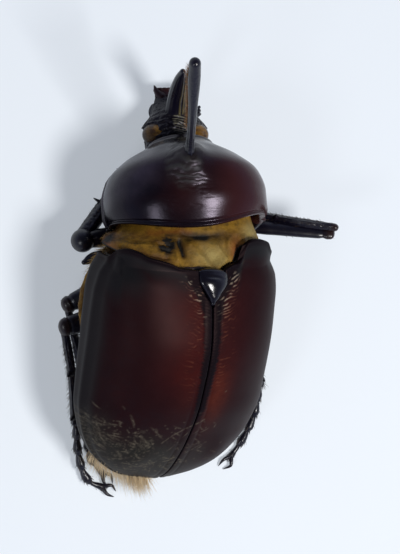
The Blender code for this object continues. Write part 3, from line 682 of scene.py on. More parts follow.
def elytron_finish():
    """Satin maroon wing case: slate base, black seam, red beside it, and a scuffed rear, with highlights
    painted as copper glints and pale sparkles beside the seam, and a faint grey-green sheen painted along the
    right case's outer edge.
    """
    finish = Finish("wing_case_satin")
    drift = finish.noise(3.5, 4.0)
    cloud = finish.noise(1.1, 4.0)
    grain = finish.noise(0.09, 2.0)
    broken = finish.noise(0.35, 5.0, rough=0.75)
    dust = finish.mark("dust")
    worn = dust * broken.between(0.50, 0.72) * cloud.between(0.42, 0.62)
    scuff = (finish.mark("scratch") * broken.between(0.34, 0.60) + 0.55 * worn).clamped()
    colour = finish.layers(
        WINE,
        (drift * 1.5 - 0.3, MAROON),
        (cloud.between(0.42, 0.66) * 0.55, PLUM),
        (finish.mark("red") * (0.4 + cloud), RED),
        (finish.mark("glow") * (0.2 + cloud), EMBER),
        # The grey-green of the base, the left shoulder and the left edge, and a faint grey-green sheen
        # painted along the right case's outer edge
        (finish.mark("slate"), SLATE_AND_SHEEN),
        (dust * (0.5 + 0.8 * cloud), OLIVE_BLACK),
        (finish.mark("dark"), JET),
        # Painted highlights: copper glints on the crests of the ripples beside the seam
        (finish.mark("glint"), PAINTED_GLINT),
        # Painted highlights: pale sparkles beside the seam near the scutellum
        (finish.mark("sparkle"), PAINTED_SPARKLE),
        (scuff * 0.5, DUST))
    roughness = 0.42 + 0.14 * drift + 0.2 * scuff
    normal = finish.bump(grain * 0.5 + scuff * 0.4, 0.006)
    tint = (1.0, 0.62, 0.60, 1.0)
    return finish.shell(colour, roughness, normal, IOR=1.4, Specular_IOR_Level=0.14, Specular_Tint=tint)


def horn_finish():
    """Blue-black gloss, olive yellow along the furrows."""
    finish = Finish("horn_gloss")
    drift = finish.noise(1.4, 4.0)
    furrow = finish.mark("furrow")
    colour = finish.blend(furrow, BLUE_BLACK, OLIVE_YELLOW)
    roughness = 0.22 + 0.14 * drift + 0.2 * furrow
    return finish.shell(colour, roughness, finish.bump(finish.noise(0.1, 3.0), 0.008), IOR=1.5)


def head_finish():
    """Black punctured shell with pale wrinkles and a dark red front edge."""
    finish = Finish("head_shell")
    drift = finish.noise(0.9, 4.0)
    pores = finish.cells(0.2).between(0.42, 0.1)
    colour = finish.layers(
        JET,
        (finish.mark("red") + 0.4 * drift - 0.2, DARK_RED),
        (finish.mark("pale"), STONE))
    normal = finish.bump(drift * 0.4 - pores * 0.8, 0.012)
    tint = (0.86, 0.84, 1.0, 1.0)
    return finish.shell(
        colour, 0.26 + 0.2 * drift, normal, IOR=1.45, Specular_IOR_Level=0.3, Specular_Tint=tint)


def scutellum_finish():
    """Mirror-bright black."""
    finish = Finish("scutellum_gloss")
    drift = finish.noise(0.8, 4.0)
    colour = finish.blend(drift, JET, BLUE_BLACK)
    return finish.shell(colour, 0.14 + 0.12 * drift, finish.bump(drift, 0.02), IOR=1.5)


def eye_finish():
    """Amber facets, darker round the edge."""
    finish = Finish("eye_amber")
    facets = finish.cells(0.07, "DISTANCE_TO_EDGE")
    drift = finish.noise(0.7, 3.0)
    colour = finish.layers(DEEP_AMBER, (drift.between(0.35, 0.65), AMBER), (finish.mark("rim"), EYE_RIM))
    normal = finish.bump(facets.between(0.0, 0.25), 0.010)
    roughness = 0.14 + 0.1 * drift
    return finish.shell(
        colour, roughness, normal, IOR=1.45, Specular_IOR_Level=0.3, Coat_Weight=0.1, Coat_Roughness=0.06)


def skin_finish():
    """Golden dried skin of the waist, with dark blotches, and shade painted on it: brown in the hollows and
    creases of its folds, near black in its grooves and where it meets the wing cases.
    """
    finish = Finish("waist_skin_gold")
    drift = finish.noise(1.6, 5.0)
    fine = finish.noise(0.22, 4.0)
    colour = finish.layers(
        OCHRE,
        (drift.between(0.36, 0.64), GOLD),
        (finish.noise(0.7, 4.0).between(0.52, 0.68) * 0.6, MOSS),
        (finish.mark("tent") * (0.5 + fine), CREAM_GOLD),
        (finish.mark("orange") * (0.5 + fine), ORANGE),
        # Painted shade, brown, in the hollows and creases of the waist's folds; on the flank, brown tone at
        # random
        (finish.mark("fold") * (0.5 + 0.9 * fine), FOLD_SHADE_AND_TONE),
        # Dark blotches, and painted shade near black in the waist's grooves and where it meets the wing cases
        (finish.mark("dark"), BLOTCH_AND_SHADE))
    normal = finish.bump(fine + 0.5 * drift, 0.06)
    return finish.shell(colour, 0.46 + 0.3 * fine, normal, IOR=1.4, Specular_IOR_Level=0.25)


def limb_finish():
    """Glossy black leg shell with pits and a brown cast at the joints."""
    finish = Finish("leg_gloss")
    drift = finish.noise(1.1, 4.0)
    grain = finish.noise(0.12, 3.0)
    pores = finish.cells(0.3).between(0.28, 0.06)
    colour = finish.blend(finish.mark("joint") + 0.4 * drift - 0.2, BLUE_BLACK, JOINT_BROWN)
    normal = finish.bump(grain * 0.4 - pores * 0.5, 0.012)
    return finish.shell(colour, 0.22 + 0.20 * drift, normal, IOR=1.5)


def belly_finish():
    """Dark brown underside plates, duller and finely pitted."""
    finish = Finish("belly_shell")
    drift = finish.noise(1.2, 4.0)
    pores = finish.cells(0.25).between(0.36, 0.08)
    colour = finish.layers(BELLY_BLACK, (drift, BELLY_BROWN), (finish.mark("seam"), SEAM_TAN))
    normal = finish.bump(drift * 0.6 - pores * 0.8, 0.02)
    return finish.shell(colour, 0.34 + 0.2 * drift, normal, IOR=1.5)


def hair_finish(name, root, tip):
    """Hair that pales toward its tip and differs from one to the next."""
    finish = Finish(name)
    tone = finish.mark("tone")
    colour = finish.layers(root, (tone, tip), (finish.mark("reach") * 0.8 + 0.2 * tone, tip))
    return finish.shell(colour, 0.35 + 0.2 * tone, IOR=1.5)


FINISHES = {
    "pronotum": pronotum_finish(),
    "elytron": elytron_finish(),
    "horn": horn_finish(),
    "head": head_finish(),
    "scutellum": scutellum_finish(),
    "eye": eye_finish(),
    "skin": skin_finish(),
    "limb": limb_finish(),
    "belly": belly_finish(),
    **{name: hair_finish(name, root, tip) for name, (root, tip) in HAIR_TONES.items()},
}


# Prothorax

pronotum_half = profile((0, 0.95), (0.2, 1.0), (0.4, 1.0), (0.6, 0.94), (0.78, 0.75), (0.9, 0.51), (1, 0.37))
pronotum_top = profile((0, 0.74), (0.3, 0.95), (0.56, 1.0), (0.8, 0.78), (1, 0.4))
pronotum_under = profile((0, 0.76), (0.4, 1.0), (0.75, 0.9), (1, 0.56))
pronotum_bulge = profile((0, 1.0), (0.4, 0.25), (1, 0.0))
pronotum_power = profile((0, 2.3), (0.5, 2.2), (0.85, 1.8), (1, 1.85))


def pronotum_points(share, angle, inset=0.0, push=0.0):
    """Points of the prothorax's outside, drawn in by inset and moved forward by push."""
    across, up = bow(angle, pronotum_power(share))
    tall = np.where(up > 0, PRONOTUM_TALL * pronotum_top(share), PRONOTUM_DEEP * pronotum_under(share))
    x = across * (PRONOTUM_WIDE * pronotum_half(share) - inset)
    y = PRONOTUM_BACK + PRONOTUM_LONG * share + push + PRONOTUM_LOBE * pronotum_bulge(share) * across ** 2
    return grid_of(x, y, up * (tall - inset))


def make_pronotum():
    """The ring of the prothorax: beaded rims, a lip at each opening, and wrinkles at its horn's foot."""
    rear, shown, front = 10, 220, 8
    level = np.zeros(shown)
    share = np.concatenate([np.zeros(rear), np.linspace(0, 1, shown), np.ones(front)])[:, None]
    inset = np.concatenate([np.linspace(1.4, 0.12, rear), level, np.linspace(0.1, 0.6, front)])[:, None]
    rear_push = np.linspace(1.5, 0.0, rear) ** 2 / 1.5 - 0.05
    push = np.concatenate([rear_push, level, -np.linspace(0.0, 1.5, front)])[:, None]
    angle = even_angles(0, TURN, 361, PRONOTUM_WIDE, PRONOTUM_TALL, 2.2)[None, :-1]
    grid = pronotum_points(share, angle, inset, push)
    grid[..., 1] += RIM_SKEW * ramp(grid[..., 0], 1.0, 9.5) * (1 - share) ** 3
    x, y, z = np.moveaxis(grid, -1, 0)
    on = (inset == 0) * 1.0
    side_bead = hump(z + 0.15, 0.2) * 0.16 - hump(z - 0.3, 0.2) * 0.08
    side_bead *= ramp(np.abs(x), 2.0, 3.0)
    back_bead = 0.17 * hump(share - 0.010, 0.011) - 0.09 * hump(share - 0.036, 0.012)
    front_bead = 0.12 * hump(share - 0.985, 0.012) - 0.06 * hump(share - 0.955, 0.012)
    away = np.hypot(x - HORN_FOOT[0], y - HORN_FOOT[1]) + 9 * (z < 0)
    above = z > 0
    patch = np.hypot((x + 0.4) / 1.9, (y - 6.9) / 2.6) + 0.22 * crinkle(grid, 1.2, 33, 3)
    wrinkle = ramp(patch, 1.15, 0.7) * above
    folds = np.sin(9.5 * y + 0.8 * x + 3.6 * crinkle(grid, 1.1, 5)) * 0.03 * wrinkle
    folds += 0.03 * crinkle(grid, 0.7, 35, 3) * wrinkle
    middle = spot(x, y, (-0.6, 4.2), (2.2, 2.6)) * above
    creased = -0.05 * middle * np.clip(creases(grid, (2.4, 0.9, 2.0), 31) - 0.55, 0, 1)
    foot = 1.15 * hump(away, 1.7) + 0.12 * spot(x, y, (0, 6.0), (1.3, 1.9)) * above
    waves = 0.02 * mottle(grid, 3.0, 1)
    height = on * (side_bead + back_bead + front_bead + foot + folds + creased + waves)
    grid = raised(grid, height)
    # red: the deep red cast in the middle, and a red-brown reflection painted down the right side
    red = np.clip(ramp(x, 0.5, 5.0) * ramp(y, 10.5, 6.5) + 0.5 * middle, 0, 1) * (z > -1)
    # A blue-grey reflected sheen painted over the left front shoulder
    bloom = ramp(x, -1.0, -5.0) * ramp(y, 3.5, 6.0)
    wrinkle = wrinkle * (0.4 + 0.6 * ramp(folds, -0.02, 0.03))
    make_skin(
        "pronotum_shell", moved(FRONT, grid), "pronotum", "prothorax_shell", "pronotum", red=red, bloom=bloom,
        wrinkle=wrinkle)


def make_pronotal_horn():
    """The slender horn of the prothorax, swollen at its tip, with a brush of hair down its front."""
    foot = np.array(HORN_FOOT)
    way = np.array(Vector((-0.02, math.sin(HORN_LEAN), math.cos(HORN_LEAN))).normalized())
    length = THORAX_HORN_LONG + 1.0
    points = [foot, foot + way * (0.5 * length) + (0, -0.45, 0), foot + way * (length - 0.5)]
    wide = profile((0, 2.3), (0.1, 1.3), (0.22, 0.75), (0.6, 0.92), (0.88, 1.2), (1, 1.12))
    deep = profile((0, 3.0), (0.1, 2.2), (0.25, 1.45), (0.7, 1.1), (1, 1.2))
    grid, share, angle = tube(points, deep, wide, (1, 0, 0), rows=150, cols=48)
    grooves = 0.03 * np.sin(9 * angle) * ramp(share, 0.75, 0.3)
    holes = pits(angle * 0.5, share * length, 0.32, 0.1, 4) * 0.035 * ramp(share, 0.97, 0.93)
    folds = 0.06 * np.sin(112 * share + 2 * mottle(grid, 0.8, 3)) * ramp(share, 0.22, 0.05)
    grid = raised(grid, grooves - holes + folds)
    make_skin("pronotal_horn_shell", moved(FRONT, grid), "horn", "prothorax_horn", "pronotal_horn")
    make_brush(grid, share, way)


def make_brush(grid, share, way):
    """The brush of hair down the front of the prothorax's horn, which runs the given way."""
    facing = outward(grid)
    weight = ramp(facing[..., 1] - 0.35 * facing[..., 0], 0.45, 0.9)
    weight = weight * window(share, 0.3, 0.42, 0.88, 0.97)
    roots, normals, _, places = scatter(grid, weight, BRUSH_HAIRS, 11)
    draw = np.random.default_rng(12)
    ways = normals + way * 1.1 + (-0.12, 0, 0) + draw.normal(scale=0.2, size=roots.shape)
    bends = draw.normal(scale=0.1, size=roots.shape) + (-0.1, -0.1, 0.35)
    plant(
        "pronotal_horn_brush", "tan_hair", "prothorax_horn", "pronotal_horn", roots - normals * 0.05, ways,
        bends, FRONT, lengths=draw.uniform(0.3, 0.7, len(roots)), width=0.035, places=places, seed=13)


# Head

head_half = profile(
    (-1.6, 0.8), (-0.4, 0.9), (0.5, 0.99), (1.6, 1.0), (2.4, 1.02), (3.0, 0.87), (3.7, 0.75), (4.9, 0.65),
    (6.0, 0.55), (6.9, 0.56),
)
head_top = profile((-1.6, 1.9), (1.5, 1.9), (3.2, 1.6), (4.9, 0.9), (6.9, 0.35))
head_under = profile((-1.6, 2.0), (1.2, 2.1), (2.6, 1.8), (3.7, 1.0), (5.3, 0.55), (6.9, 0.3))


def make_head():
    """The head capsule: wrinkled crown, raised cheek ridges and the two sharp corners of its shield."""
    y = np.linspace(-1.6, HEAD_LONG, 190)[:, None]
    angle = even_angles(0, TURN, 241, HEAD_WIDE, 1.9, 2.3)[None, :-1]
    across, up = bow(angle, 2.3)
    tall = np.where(up > 0, head_top(y), head_under(y))
    grid = grid_of(HEAD_WIDE * head_half(y) * across, y, tall * up)
    x, y, z = np.moveaxis(grid, -1, 0)
    above = z > 0
    front_bead = 0.14 * hump(y - HEAD_LONG + 0.12, 0.16)
    edge_bead = 0.12 * hump(z - 0.05, 0.2) * ramp(y, 3.0, 3.6)
    hollow = -0.22 * spot(x, y, (0, 5.6), (1.1, 0.9)) * above
    crown = above * ramp(y, 4.6, 2.4)
    wrinkles = crown * (0.06 * np.sin(9 * y + 2.5 * crinkle(grid, 1.0, 7)) + 0.06 * crinkle(grid, 0.5, 9))
    holes = pits(x + 0.4 * z, y, 0.38, 0.13, 6, 0.9) * 0.045
    foot = 0.7 * spot(x, y, (0, 3.3), (1.15, 1.15)) * above
    patch = ramp(np.hypot((x - 0.6) / 1.15, (y - 1.8) / 1.3) + 0.2 * mottle(grid, 0.6, 10), 1.1, 0.6)
    lines = np.sin(24 * y + 2.4 * x + 3.4 * crinkle(grid, 0.8, 11, 3)) * patch * above
    grid = raised(grid, front_bead + edge_bead + hollow + wrinkles - holes + foot + 0.025 * lines)
    pale = np.maximum(ramp(lines, 0.1, 0.8), 0.55 * spot(x, y, (2.4, 1.5), (0.6, 0.8)) * above)
    shape = Shape()
    shape.add_grid(moved(HEAD, grid), {"red": ramp(y, 5.4, 6.7), "pale": pale})
    add_shield(shape)
    shape.build("head_shell_fine", "head", "head_shell", "head")


def add_shield(shape):
    """Adds the two sharp corners of the head's shield and the ridge along each cheek."""
    for side in (-1, 1):
        root = np.array((side * 1.15, HEAD_LONG - 0.9, 0.05))
        tip = np.array((side * 1.88, HEAD_LONG + 0.3, 0.36))
        middle = (root + tip) / 2 + (side * 0.1, -0.05, 0)
        taper = profile((0, 1.1), (0.5, 0.62), (0.9, 0.2), (1, 0.05))
        corner, share, _ = tube([root, middle, tip], taper, rows=26, cols=20)
        shape.add_grid(moved(HEAD, corner), {"red": 0.6 + 0.4 * share})
        cheek_line = [(side * 2.0, 3.6, 0.1), (side * 2.65, 2.85, 0.2), (side * 3.28, 2.3, 0.25)]
        ridge = profile((0, 0.8), (0.6, 0.6), (1, 0.14))
        cheek = tube(cheek_line, ridge, profile((0, 0.5), (1, 0.14)), rows=30, cols=20)[0]
        shape.add_grid(moved(HEAD, cheek), {"red": 0.3})


def make_head_horn():
    """The tapered horn of the head, furrowed lengthways on its right."""
    foot = np.array((0, 3.3, 0.9))
    tip = foot + np.array((0.1, 0.5, HEAD_HORN_LONG))
    points = [foot, (foot + tip) / 2 + (0, 0.5, 0), tip]
    wide = profile((0, 2.3), (0.15, 2.05), (0.5, 1.75), (0.77, 1.4), (0.93, 0.95), (1, 0.6))
    deep = profile((0, 2.1), (0.15, 1.6), (0.6, 1.1), (1, 0.65))
    grid, share, angle = tube(points, deep, wide, (1, 0, 0), rows=120, cols=56)
    right = ramp(outward(grid)[..., 0], -0.1, 0.5)
    ridges = np.sin(16 * angle + 1.5 * mottle(grid, (0.6, 0.6, 2.5), 2))
    grid = raised(grid, 0.055 * ridges * (0.3 + right) * ramp(share, 0.98, 0.85))
    furrow = ramp(ridges, 0.1, 0.9) * right * ramp(share, 0.95, 0.6)
    make_skin("head_horn_shell", moved(HEAD, grid), "horn", "head_horn", "head_horn", furrow=furrow)


def make_eye(side, node):
    """One eye, bulging from the side of the head, amber above and dark round its edge."""
    facing = ball(64, 32)
    x, y, z = np.moveaxis(facing, -1, 0)
    grid = (np.array(EYE_SEAT) + EYE_SHIFT) * (side, 1, 1) + facing * EYE * np.array(EYE_SWELL)
    amber = spot(x, y, (0.25, -0.1), (0.8, 0.8)) * ramp(z, 0.0, 0.5)
    make_skin(node + "_facets", moved(HEAD, grid), "eye", "eye", node, rim=1 - amber)


def make_jaws():
    """The two short curved jaws under the shield, ridged and toothed at the tip."""
    for side, node in ((-1, "mandible_left"), (1, "mandible_right")):
        points = [(side * 1.2, 3.7, -1.5), (side * 1.8, 5.0, -1.2), (side * 1.35, 6.2, -0.85)]
        wide = profile((0, 1.3), (0.6, 1.1), (1, 0.6))
        grid, share, angle = tube(points, wide, profile((0, 0.7), (1, 0.5)), (0, 0.3, 1), rows=60, cols=36)
        notch = -0.14 * hump(share - 0.82, 0.05) + 0.05 * np.sin(14 * angle) * ramp(share, 0.9, 0.4)
        make_skin(node + "_shell", moved(HEAD, raised(grid, notch)), "limb", "jaw", node)


def make_mouthparts():
    """The chin plate and the four beaded palps."""
    chin_line = [(0, 1.2, -2.3), (0, 2.4, -2.3), (0, 4.2, -1.55)]
    chin_wide = profile((0, 1.9), (0.6, 1.7), (1, 1.0))
    plate = tube(chin_line, chin_wide, profile((0, 0.7), (1, 0.6)), rows=50, cols=40)[0]
    plate = raised(plate, 0.03 * crinkle(plate, 0.4, 3))
    shape = Shape()
    shape.add_grid(moved(HEAD, plate))
    bead = profile((0, 0.4), (0.28, 0.62), (0.34, 0.34), (0.62, 0.66), (0.68, 0.36), (0.9, 0.62), (1, 0.4))
    for side in (-1, 1):
        near = [(side * 0.3, 3.3, -2.0), (side * 0.55, 3.8, -2.0), (side * 0.7, 4.4, -1.85)]
        far = [(side * 0.6, 2.3, -2.3), (side * 1.3, 2.8, -2.35), (side * 1.6, 3.5, -2.15)]
        for points in (near, far):
            palp = tube(points, bead, rows=44, cols=18)[0]
            shape.add_grid(moved(HEAD, palp))
    shape.build("mouthparts_shell", "limb", "mouthparts", "mouthparts")


def make_antenna(side, node, knuckle_out, club_reach):
    """A feeler: a stout first joint, a beaded stalk and a club of three leaves."""
    elbow = np.array((side * 2.6, 3.6, -1.7))
    knuckle = np.array((side * knuckle_out, 4.6, -2.0))
    shape = Shape()
    stem_size = profile((0, 0.5), (0.7, 0.8), (1, 0.5))
    stem = tube([(side * 2.0, 2.5, -1.4), (side * 2.4, 3.1, -1.6), elbow], stem_size)[0]
    shape.add_grid(moved(HEAD, stem))
    beads = profile(*((i / 10, (0.36, 0.56)[i % 2]) for i in range(11)))
    stalk = tube([elbow, (elbow + knuckle) / 2, knuckle], beads, rows=50, cols=18)[0]
    shape.add_grid(moved(HEAD, stalk))
    leaf_wide = profile((0, 0.42), (0.6, 0.7), (1, 0.5))
    leaf_thick = profile((0, 0.3), (0.5, 0.36), (1, 0.3))
    for i in range(3):
        root = knuckle + (-side * 0.1, -0.1 + 0.16 * i, 0)
        tip = knuckle + (side * club_reach, 0.45 + 0.4 * i, 0.2)
        line = [root, (root + tip) / 2, tip]
        leaf = tube(line, leaf_wide, leaf_thick, (-side * 0.2, 1, 0), rows=24, cols=20)[0]
        shape.add_grid(moved(HEAD, leaf))
    shape.build(node + "_shell", "limb", "antenna", node)


# Rear half

elytra_half = profile(
    (0, 0.87), (0.06, 0.95), (0.15, 0.985), (0.35, 0.995), (0.6, 1.0), (0.75, 0.925), (0.86, 0.78),
    (0.93, 0.6), (0.975, 0.41), (1, 0.2),
)
elytra_top = profile(
    (0, 0.8), (0.08, 0.87), (0.33, 1.0), (0.57, 0.9), (0.76, 0.68), (0.9, 0.42), (0.96, 0.26), (1, 0.1)
)
elytra_power = profile((0, 3.0), (0.25, 2.5), (0.6, 2.25), (1, 2.2))
left_shoulder = profile(
    (0, 0), (0.32, 0.2), (0.5, 0.68), (0.64, 0.95), (0.75, 1.16), (0.84, 1.52), (0.92, 1.65), (0.97, 1.4),
    (1, 0.2),
)
right_shoulder = profile(
    (0, 0), (0.19, 0.5), (0.29, 0.65), (0.33, 1.3), (0.38, 2.5), (0.5, 2.85), (0.64, 2.75), (0.75, 2.38),
    (0.84, 1.5), (0.94, 0.85), (1, 0.4),
)
belly = profile((0, 0.8), (0.16, 1.02), (0.4, 0.97), (0.65, 0.8), (0.85, 0.5), (1, 0.14))

# The plate that shows left of the waist, where it stands
KNOB = [(-6.0, -0.6, 6.3), (-7.9, -0.35, 6.4), (-9.15, -0.85, 6.3)]
knob_wide = profile((0, 1.5), (0.6, 1.2), (0.85, 0.9), (1, 0.5))
knob_thick = profile((0, 1.5), (0.6, 0.9), (1, 0.5))

# The soft golden edge along the left flank, in the rear half
FLANK = [(-9.0, -0.7, -0.8), (-9.65, -2.6, -1.25), (-9.95, -5.2, -1.4), (-9.5, -7.7, -1.3)]
flank_soft = profile((0, 0.6), (0.4, 0.88), (1, 0.65))

# How far the wing cases stand apart round the scutellum, on each side, by distance from their base
scutellum_notch = profile((0, 1.45), (1.2, 1.3), (2.2, 0.8), (3.2, 0.12), (3.6, 0))

# Half the width of the black band along their seam, by distance from their base
seam_band = profile((0.2, 3.0), (0.9, 2.6), (2.2, 1.8), (3.4, 1.15), (6.0, 0.8), (12.0, 0.55), (16.0, 0.25))


def shoulder(x):
    """How far forward the base of the wing cases runs at places left or right of their seam."""
    reach = np.abs(x) / (ELYTRA_WIDE * elytra_half(0))
    return np.where(x < 0, left_shoulder(reach), right_shoulder(reach))


def elytra_points(side, share, angle):
    """Points of a wing case's outside, by share of its length and angle up from its side edge."""
    place = share
    for _ in range(3):
        half = ELYTRA_WIDE * elytra_half(place) - SUTURE
        across, up = bow(angle, elytra_power(place))
        out = side * (SUTURE + half * across)
        ahead = shoulder(np.where(up > 0, out, side * ELYTRA_WIDE)) * (1 - share) ** 4
        place = np.clip(share - ahead / ELYTRA_LONG, 0.0, 1.0)
    out = out + side * scutellum_notch(ELYTRA_LONG * share) * np.clip(1 - across, 0, 1) ** 3
    height = up * np.where(up > 0, ELYTRA_TALL * elytra_top(place), ELYTRA_FOLD)
    return grid_of(out, ahead - ELYTRA_LONG * share, height)


# Groups of scuffs on the rear of the wing cases: middle, spread, how many, way, longest and widest
SCUFFS = (
    ((-8.3, -17.6), (1.5, 1.3), 130, -0.55, 1.2, 0.08),
    ((-9.3, -16.2), (0.8, 0.5), 30, -0.5, 1.2, 0.09),
    ((-5.1, -17.6), (0.8, 0.8), 50, -0.6, 0.8, 0.15),
    ((-4.2, -20.8), (2.8, 0.55), 110, -0.2, 1.0, 0.08),
    ((-3.0, -18.4), (4.5, 2.2), 80, -0.4, 0.7, 0.07),
    ((1.2, -18.0), (1.6, 2.0), 25, 0.5, 0.8, 0.07),
)
CURVED_SCUFF = ((-2.8, -17.8), (-1.8, -16.8), (1.0, -15.2))


def scratches(x, y, side):
    """Scuffs on the rear of the wing cases: short strokes in groups, and one long curved line."""
    draw = np.random.default_rng(60)
    total = np.zeros(x.shape)
    for centre, spread, count, slant, longest, widest in SCUFFS:
        for _ in range(count):
            middle = np.array(centre) + draw.normal(size=2) * spread
            turn = draw.normal(slant, 0.4)
            reach = 0.10 + longest * draw.random() ** 3
            bend = draw.normal(0, 0.15)
            width = draw.uniform(0.045, widest)
            strength = draw.uniform(0.3, 1.0)
            near = (np.abs(x - middle[0]) < 2) & (np.abs(y - middle[1]) < 2)
            other_case = (middle[0] > 0) != (side > 0) and abs(middle[0]) > 1.5
            if other_case or not near.any():
                continue
            way = np.array((math.cos(turn), math.sin(turn)))
            away = np.stack([x[near], y[near]], axis=-1) - middle
            t = away @ way / reach
            off = away @ np.array((-way[1], way[0])) - bend * reach * (t ** 2 - 0.3)
            stroke = hump(off, width) * ramp(np.abs(t), 1.1, 0.2)
            total[near] = np.maximum(total[near], stroke * strength)
    line = smooth_path([(*place, 0.0) for place in CURVED_SCUFF], 12)[:, :2]
    places = np.stack([x, y], axis=-1) + 0.05 * mottle(np.stack([x, y, y], axis=-1), 0.3, 61)[..., None]
    for start, stop in zip(line[:-1], line[1:]):
        total = np.maximum(total, 0.8 * hump(away_from_line(places, start, stop), 0.08))
    return total


def thickened(grid, thick):
    """The rows of an open grid closed into flat rings: outside, rounded edge, inside, rounded edge."""
    inner = grid - outward(grid, wrap=False) * thick
    rounding = []
    for k, edge_side in ((-1, grid[:, -1] - grid[:, -2]), (0, grid[:, 0] - grid[:, 1])):
        way = unit(edge_side) * EDGE_ROUND
        middle = (grid[:, k] + inner[:, k]) / 2
        turns = np.linspace(0, math.pi, 7)[1:-1]
        ring = [middle + (grid[:, k] - middle) * math.cos(t) + way * math.sin(t) for t in turns]
        rounding.append(np.stack(ring, axis=1))
    return np.concatenate([grid, rounding[0], inner[:, ::-1], rounding[1][:, ::-1]], axis=1)


def make_elytron(side, node):
    """One wing case, with its seam groove and ripples, side bead, and shoulder and tail knobs."""
    share = (1 - (1 - np.linspace(0, 1, 360)) ** 1.12)[:, None]
    angle = even_angles(math.pi / 2, math.radians(-19), 190, ELYTRA_WIDE, ELYTRA_TALL, 2.4)[None, :]
    smooth = elytra_points(side, share, angle)
    x = smooth[..., 0]
    back = ELYTRA_LONG * share
    seam = np.abs(x) - SUTURE
    groove = -0.025 * hump(seam - 0.75, 0.16) * ramp(share, 0.1, 0.16)
    seam_lip = 0.025 * hump(seam - 0.3, 0.3)
    edge = angle - math.radians(7)
    bead = 0.10 * hump(edge, 0.05) - 0.05 * hump(edge - 0.13, 0.06)
    knobs = 0.10 * spot(np.abs(x), share, (6.4, 0.09), (1.9, 0.06))
    knobs = knobs + 0.3 * spot(np.abs(x), share, (4.4, 0.85), (1.6, 0.07))
    beside_seam = ramp(seam, 3.4, 0.6) * window(back, 0.6, 1.6, 8.0, 15.0)
    wave = np.sin(TURN * (back + 0.25 * seam) / 0.33 + 4.6 * crinkle(smooth, (0.8, 0.7, 0.8), 40 + side, 2))
    ripples = 0.008 * wave * beside_seam
    waves = 0.02 * mottle(smooth, 2.8, 8)
    base_lip = 0.08 * hump(share, 0.012)
    grid = raised(smooth, groove + seam_lip + bead + knobs + ripples + waves + base_lip, wrap=False)
    loop = thickened(grid, ELYTRON_THICK - ELYTRON_SLIM)
    marks = elytron_marks(side, smooth, grid, share, angle, wave, beside_seam)
    spare = loop.shape[1] - grid.shape[1]
    marks = {name: np.pad(np.broadcast_to(m, x.shape), ((0, 0), (0, spare))) for name, m in marks.items()}
    marks["dark"][:, grid.shape[1]:] = 1.0
    make_skin(node + "_shell", moved(REAR, loop), "elytron", "wing_case", node, zipped=True, **marks)


def elytron_marks(side, smooth, grid, share, angle, wave, beside_seam):
    """The marks of a wing case, from its points before and after they are raised."""
    x, y = smooth[..., 0], smooth[..., 1]
    seam = np.abs(x) - SUTURE
    back = ELYTRA_LONG * share
    shaken = mottle(grid, (1.0, 0.4, 1.0), 4)
    half_band = seam_band(back) + 0.09 * wave + 0.14 * shaken
    dark = ramp(seam, half_band + 0.2, half_band - 0.2) * ramp(back, 17.0, 14.0)
    dark = np.maximum(dark, ramp(back, 0.55, 0.2))
    # slate: grey-green tone on the left case's outer edge and shoulder and along the base, and a faint
    # grey-green sheen painted on the right case's outer edge
    outer = ramp(angle, math.radians(27), math.radians(12)) * (0.95 if side < 0 else 0.3)
    slate = np.maximum(outer, ramp(back + 0.3 * shaken, 2.2 if side < 0 else 1.9, 0.6))
    slate = np.maximum(slate, ramp(back, 4.6, 1.8) * ramp(np.abs(x), 5.8, 8.0) * (side < 0))
    # Painted highlights: glints on the crests of the ripples beside the seam, near the base and farther back
    glint = 0.8 * hump(seam - half_band - 0.35, 0.4) * window(back, 0.7, 1.4, 2.6, 8.0)
    broken = ramp(mottle(grid, (0.5, 0.25, 0.5), 44) + 0.5 * mottle(grid, 1.3, 46), 0.0, 0.5)
    far_glint = 0.8 * beside_seam * ramp(seam, 0.7, 1.2) * broken
    glint = np.clip(glint * (0.4 + 0.6 * broken) + far_glint, 0, 1) * ramp(wave, 0.5, 1.0)
    # Painted highlights: pale sparkles on the ripples' crests beside the seam, near the scutellum
    sparkle = hump(seam - half_band + 0.1, 0.55) * window(back, 0.5, 1.0, 2.5, 5.5) * broken
    sparkle = sparkle * ramp(wave, 0.2, 0.8)
    red = hump(seam - 1.5, 3.4) * window(back, 1.0, 4.0, 9.0, 15.5)
    red = red * (1.0 if side < 0 else 0.55)
    glow = spot(seam, back, (1.5, 12.6), (1.3, 3.0)) * (0.6 if side > 0 else 0.1)
    rear_left = ramp(share - 0.012 * (x + 10) + 0.05 * mottle(grid, 2.2, 45), 0.60, 0.78)
    dust = rear_left * ramp(x, 6.5, -2.5)
    return {
        "dark": dark, "slate": slate, "red": red, "glow": glow, "dust": dust, "glint": 0.5 * glint,
        "sparkle": 0.6 * sparkle, "scratch": scratches(x, y, side)}


def make_scutellum():
    """The small rounded shield between the bases of the wing cases."""
    points = [(0.25, -0.35, 6.15), (0.15, -1.5, 6.6), (0, -3.1, 7.0)]
    wide = profile((0, 3.4), (0.3, 3.2), (0.7, 1.7), (1, 0.5))
    thick = profile((0, 1.0), (0.35, 1.45), (0.8, 1.2), (1, 0.7))
    grid, share, _ = tube(points, wide, thick, rows=90, cols=80, power=2.1)
    dimples = 0.05 * hump(share - 0.16, 0.05) * (0.5 + np.cos(2.1 * grid[..., 0]))
    grid = raised(grid, 0.012 * crinkle(grid, 0.7, 2) - dimples)
    make_skin("scutellum_shell", moved(REAR, grid), "scutellum", "scutellum", "scutellum")


def core_points(share, angle, ridge=0.0):
    """Points of the body under the wing cases, by share of their length."""
    inset = ELYTRON_THICK + CORE_GAP
    place = np.clip(share + 0.03 * share ** 2, 0.0, 1.0)
    across, up = bow(angle, elytra_power(place) - 0.15)
    tall = np.maximum(ELYTRA_TALL * elytra_top(place) - inset, 0.3)
    height = up * np.where(up > 0, tall, BELLY_DEEP * belly(place) + ridge)
    x = across * (ELYTRA_WIDE * elytra_half(place) - inset)
    return grid_of(x, -ELYTRA_LONG * share, height)


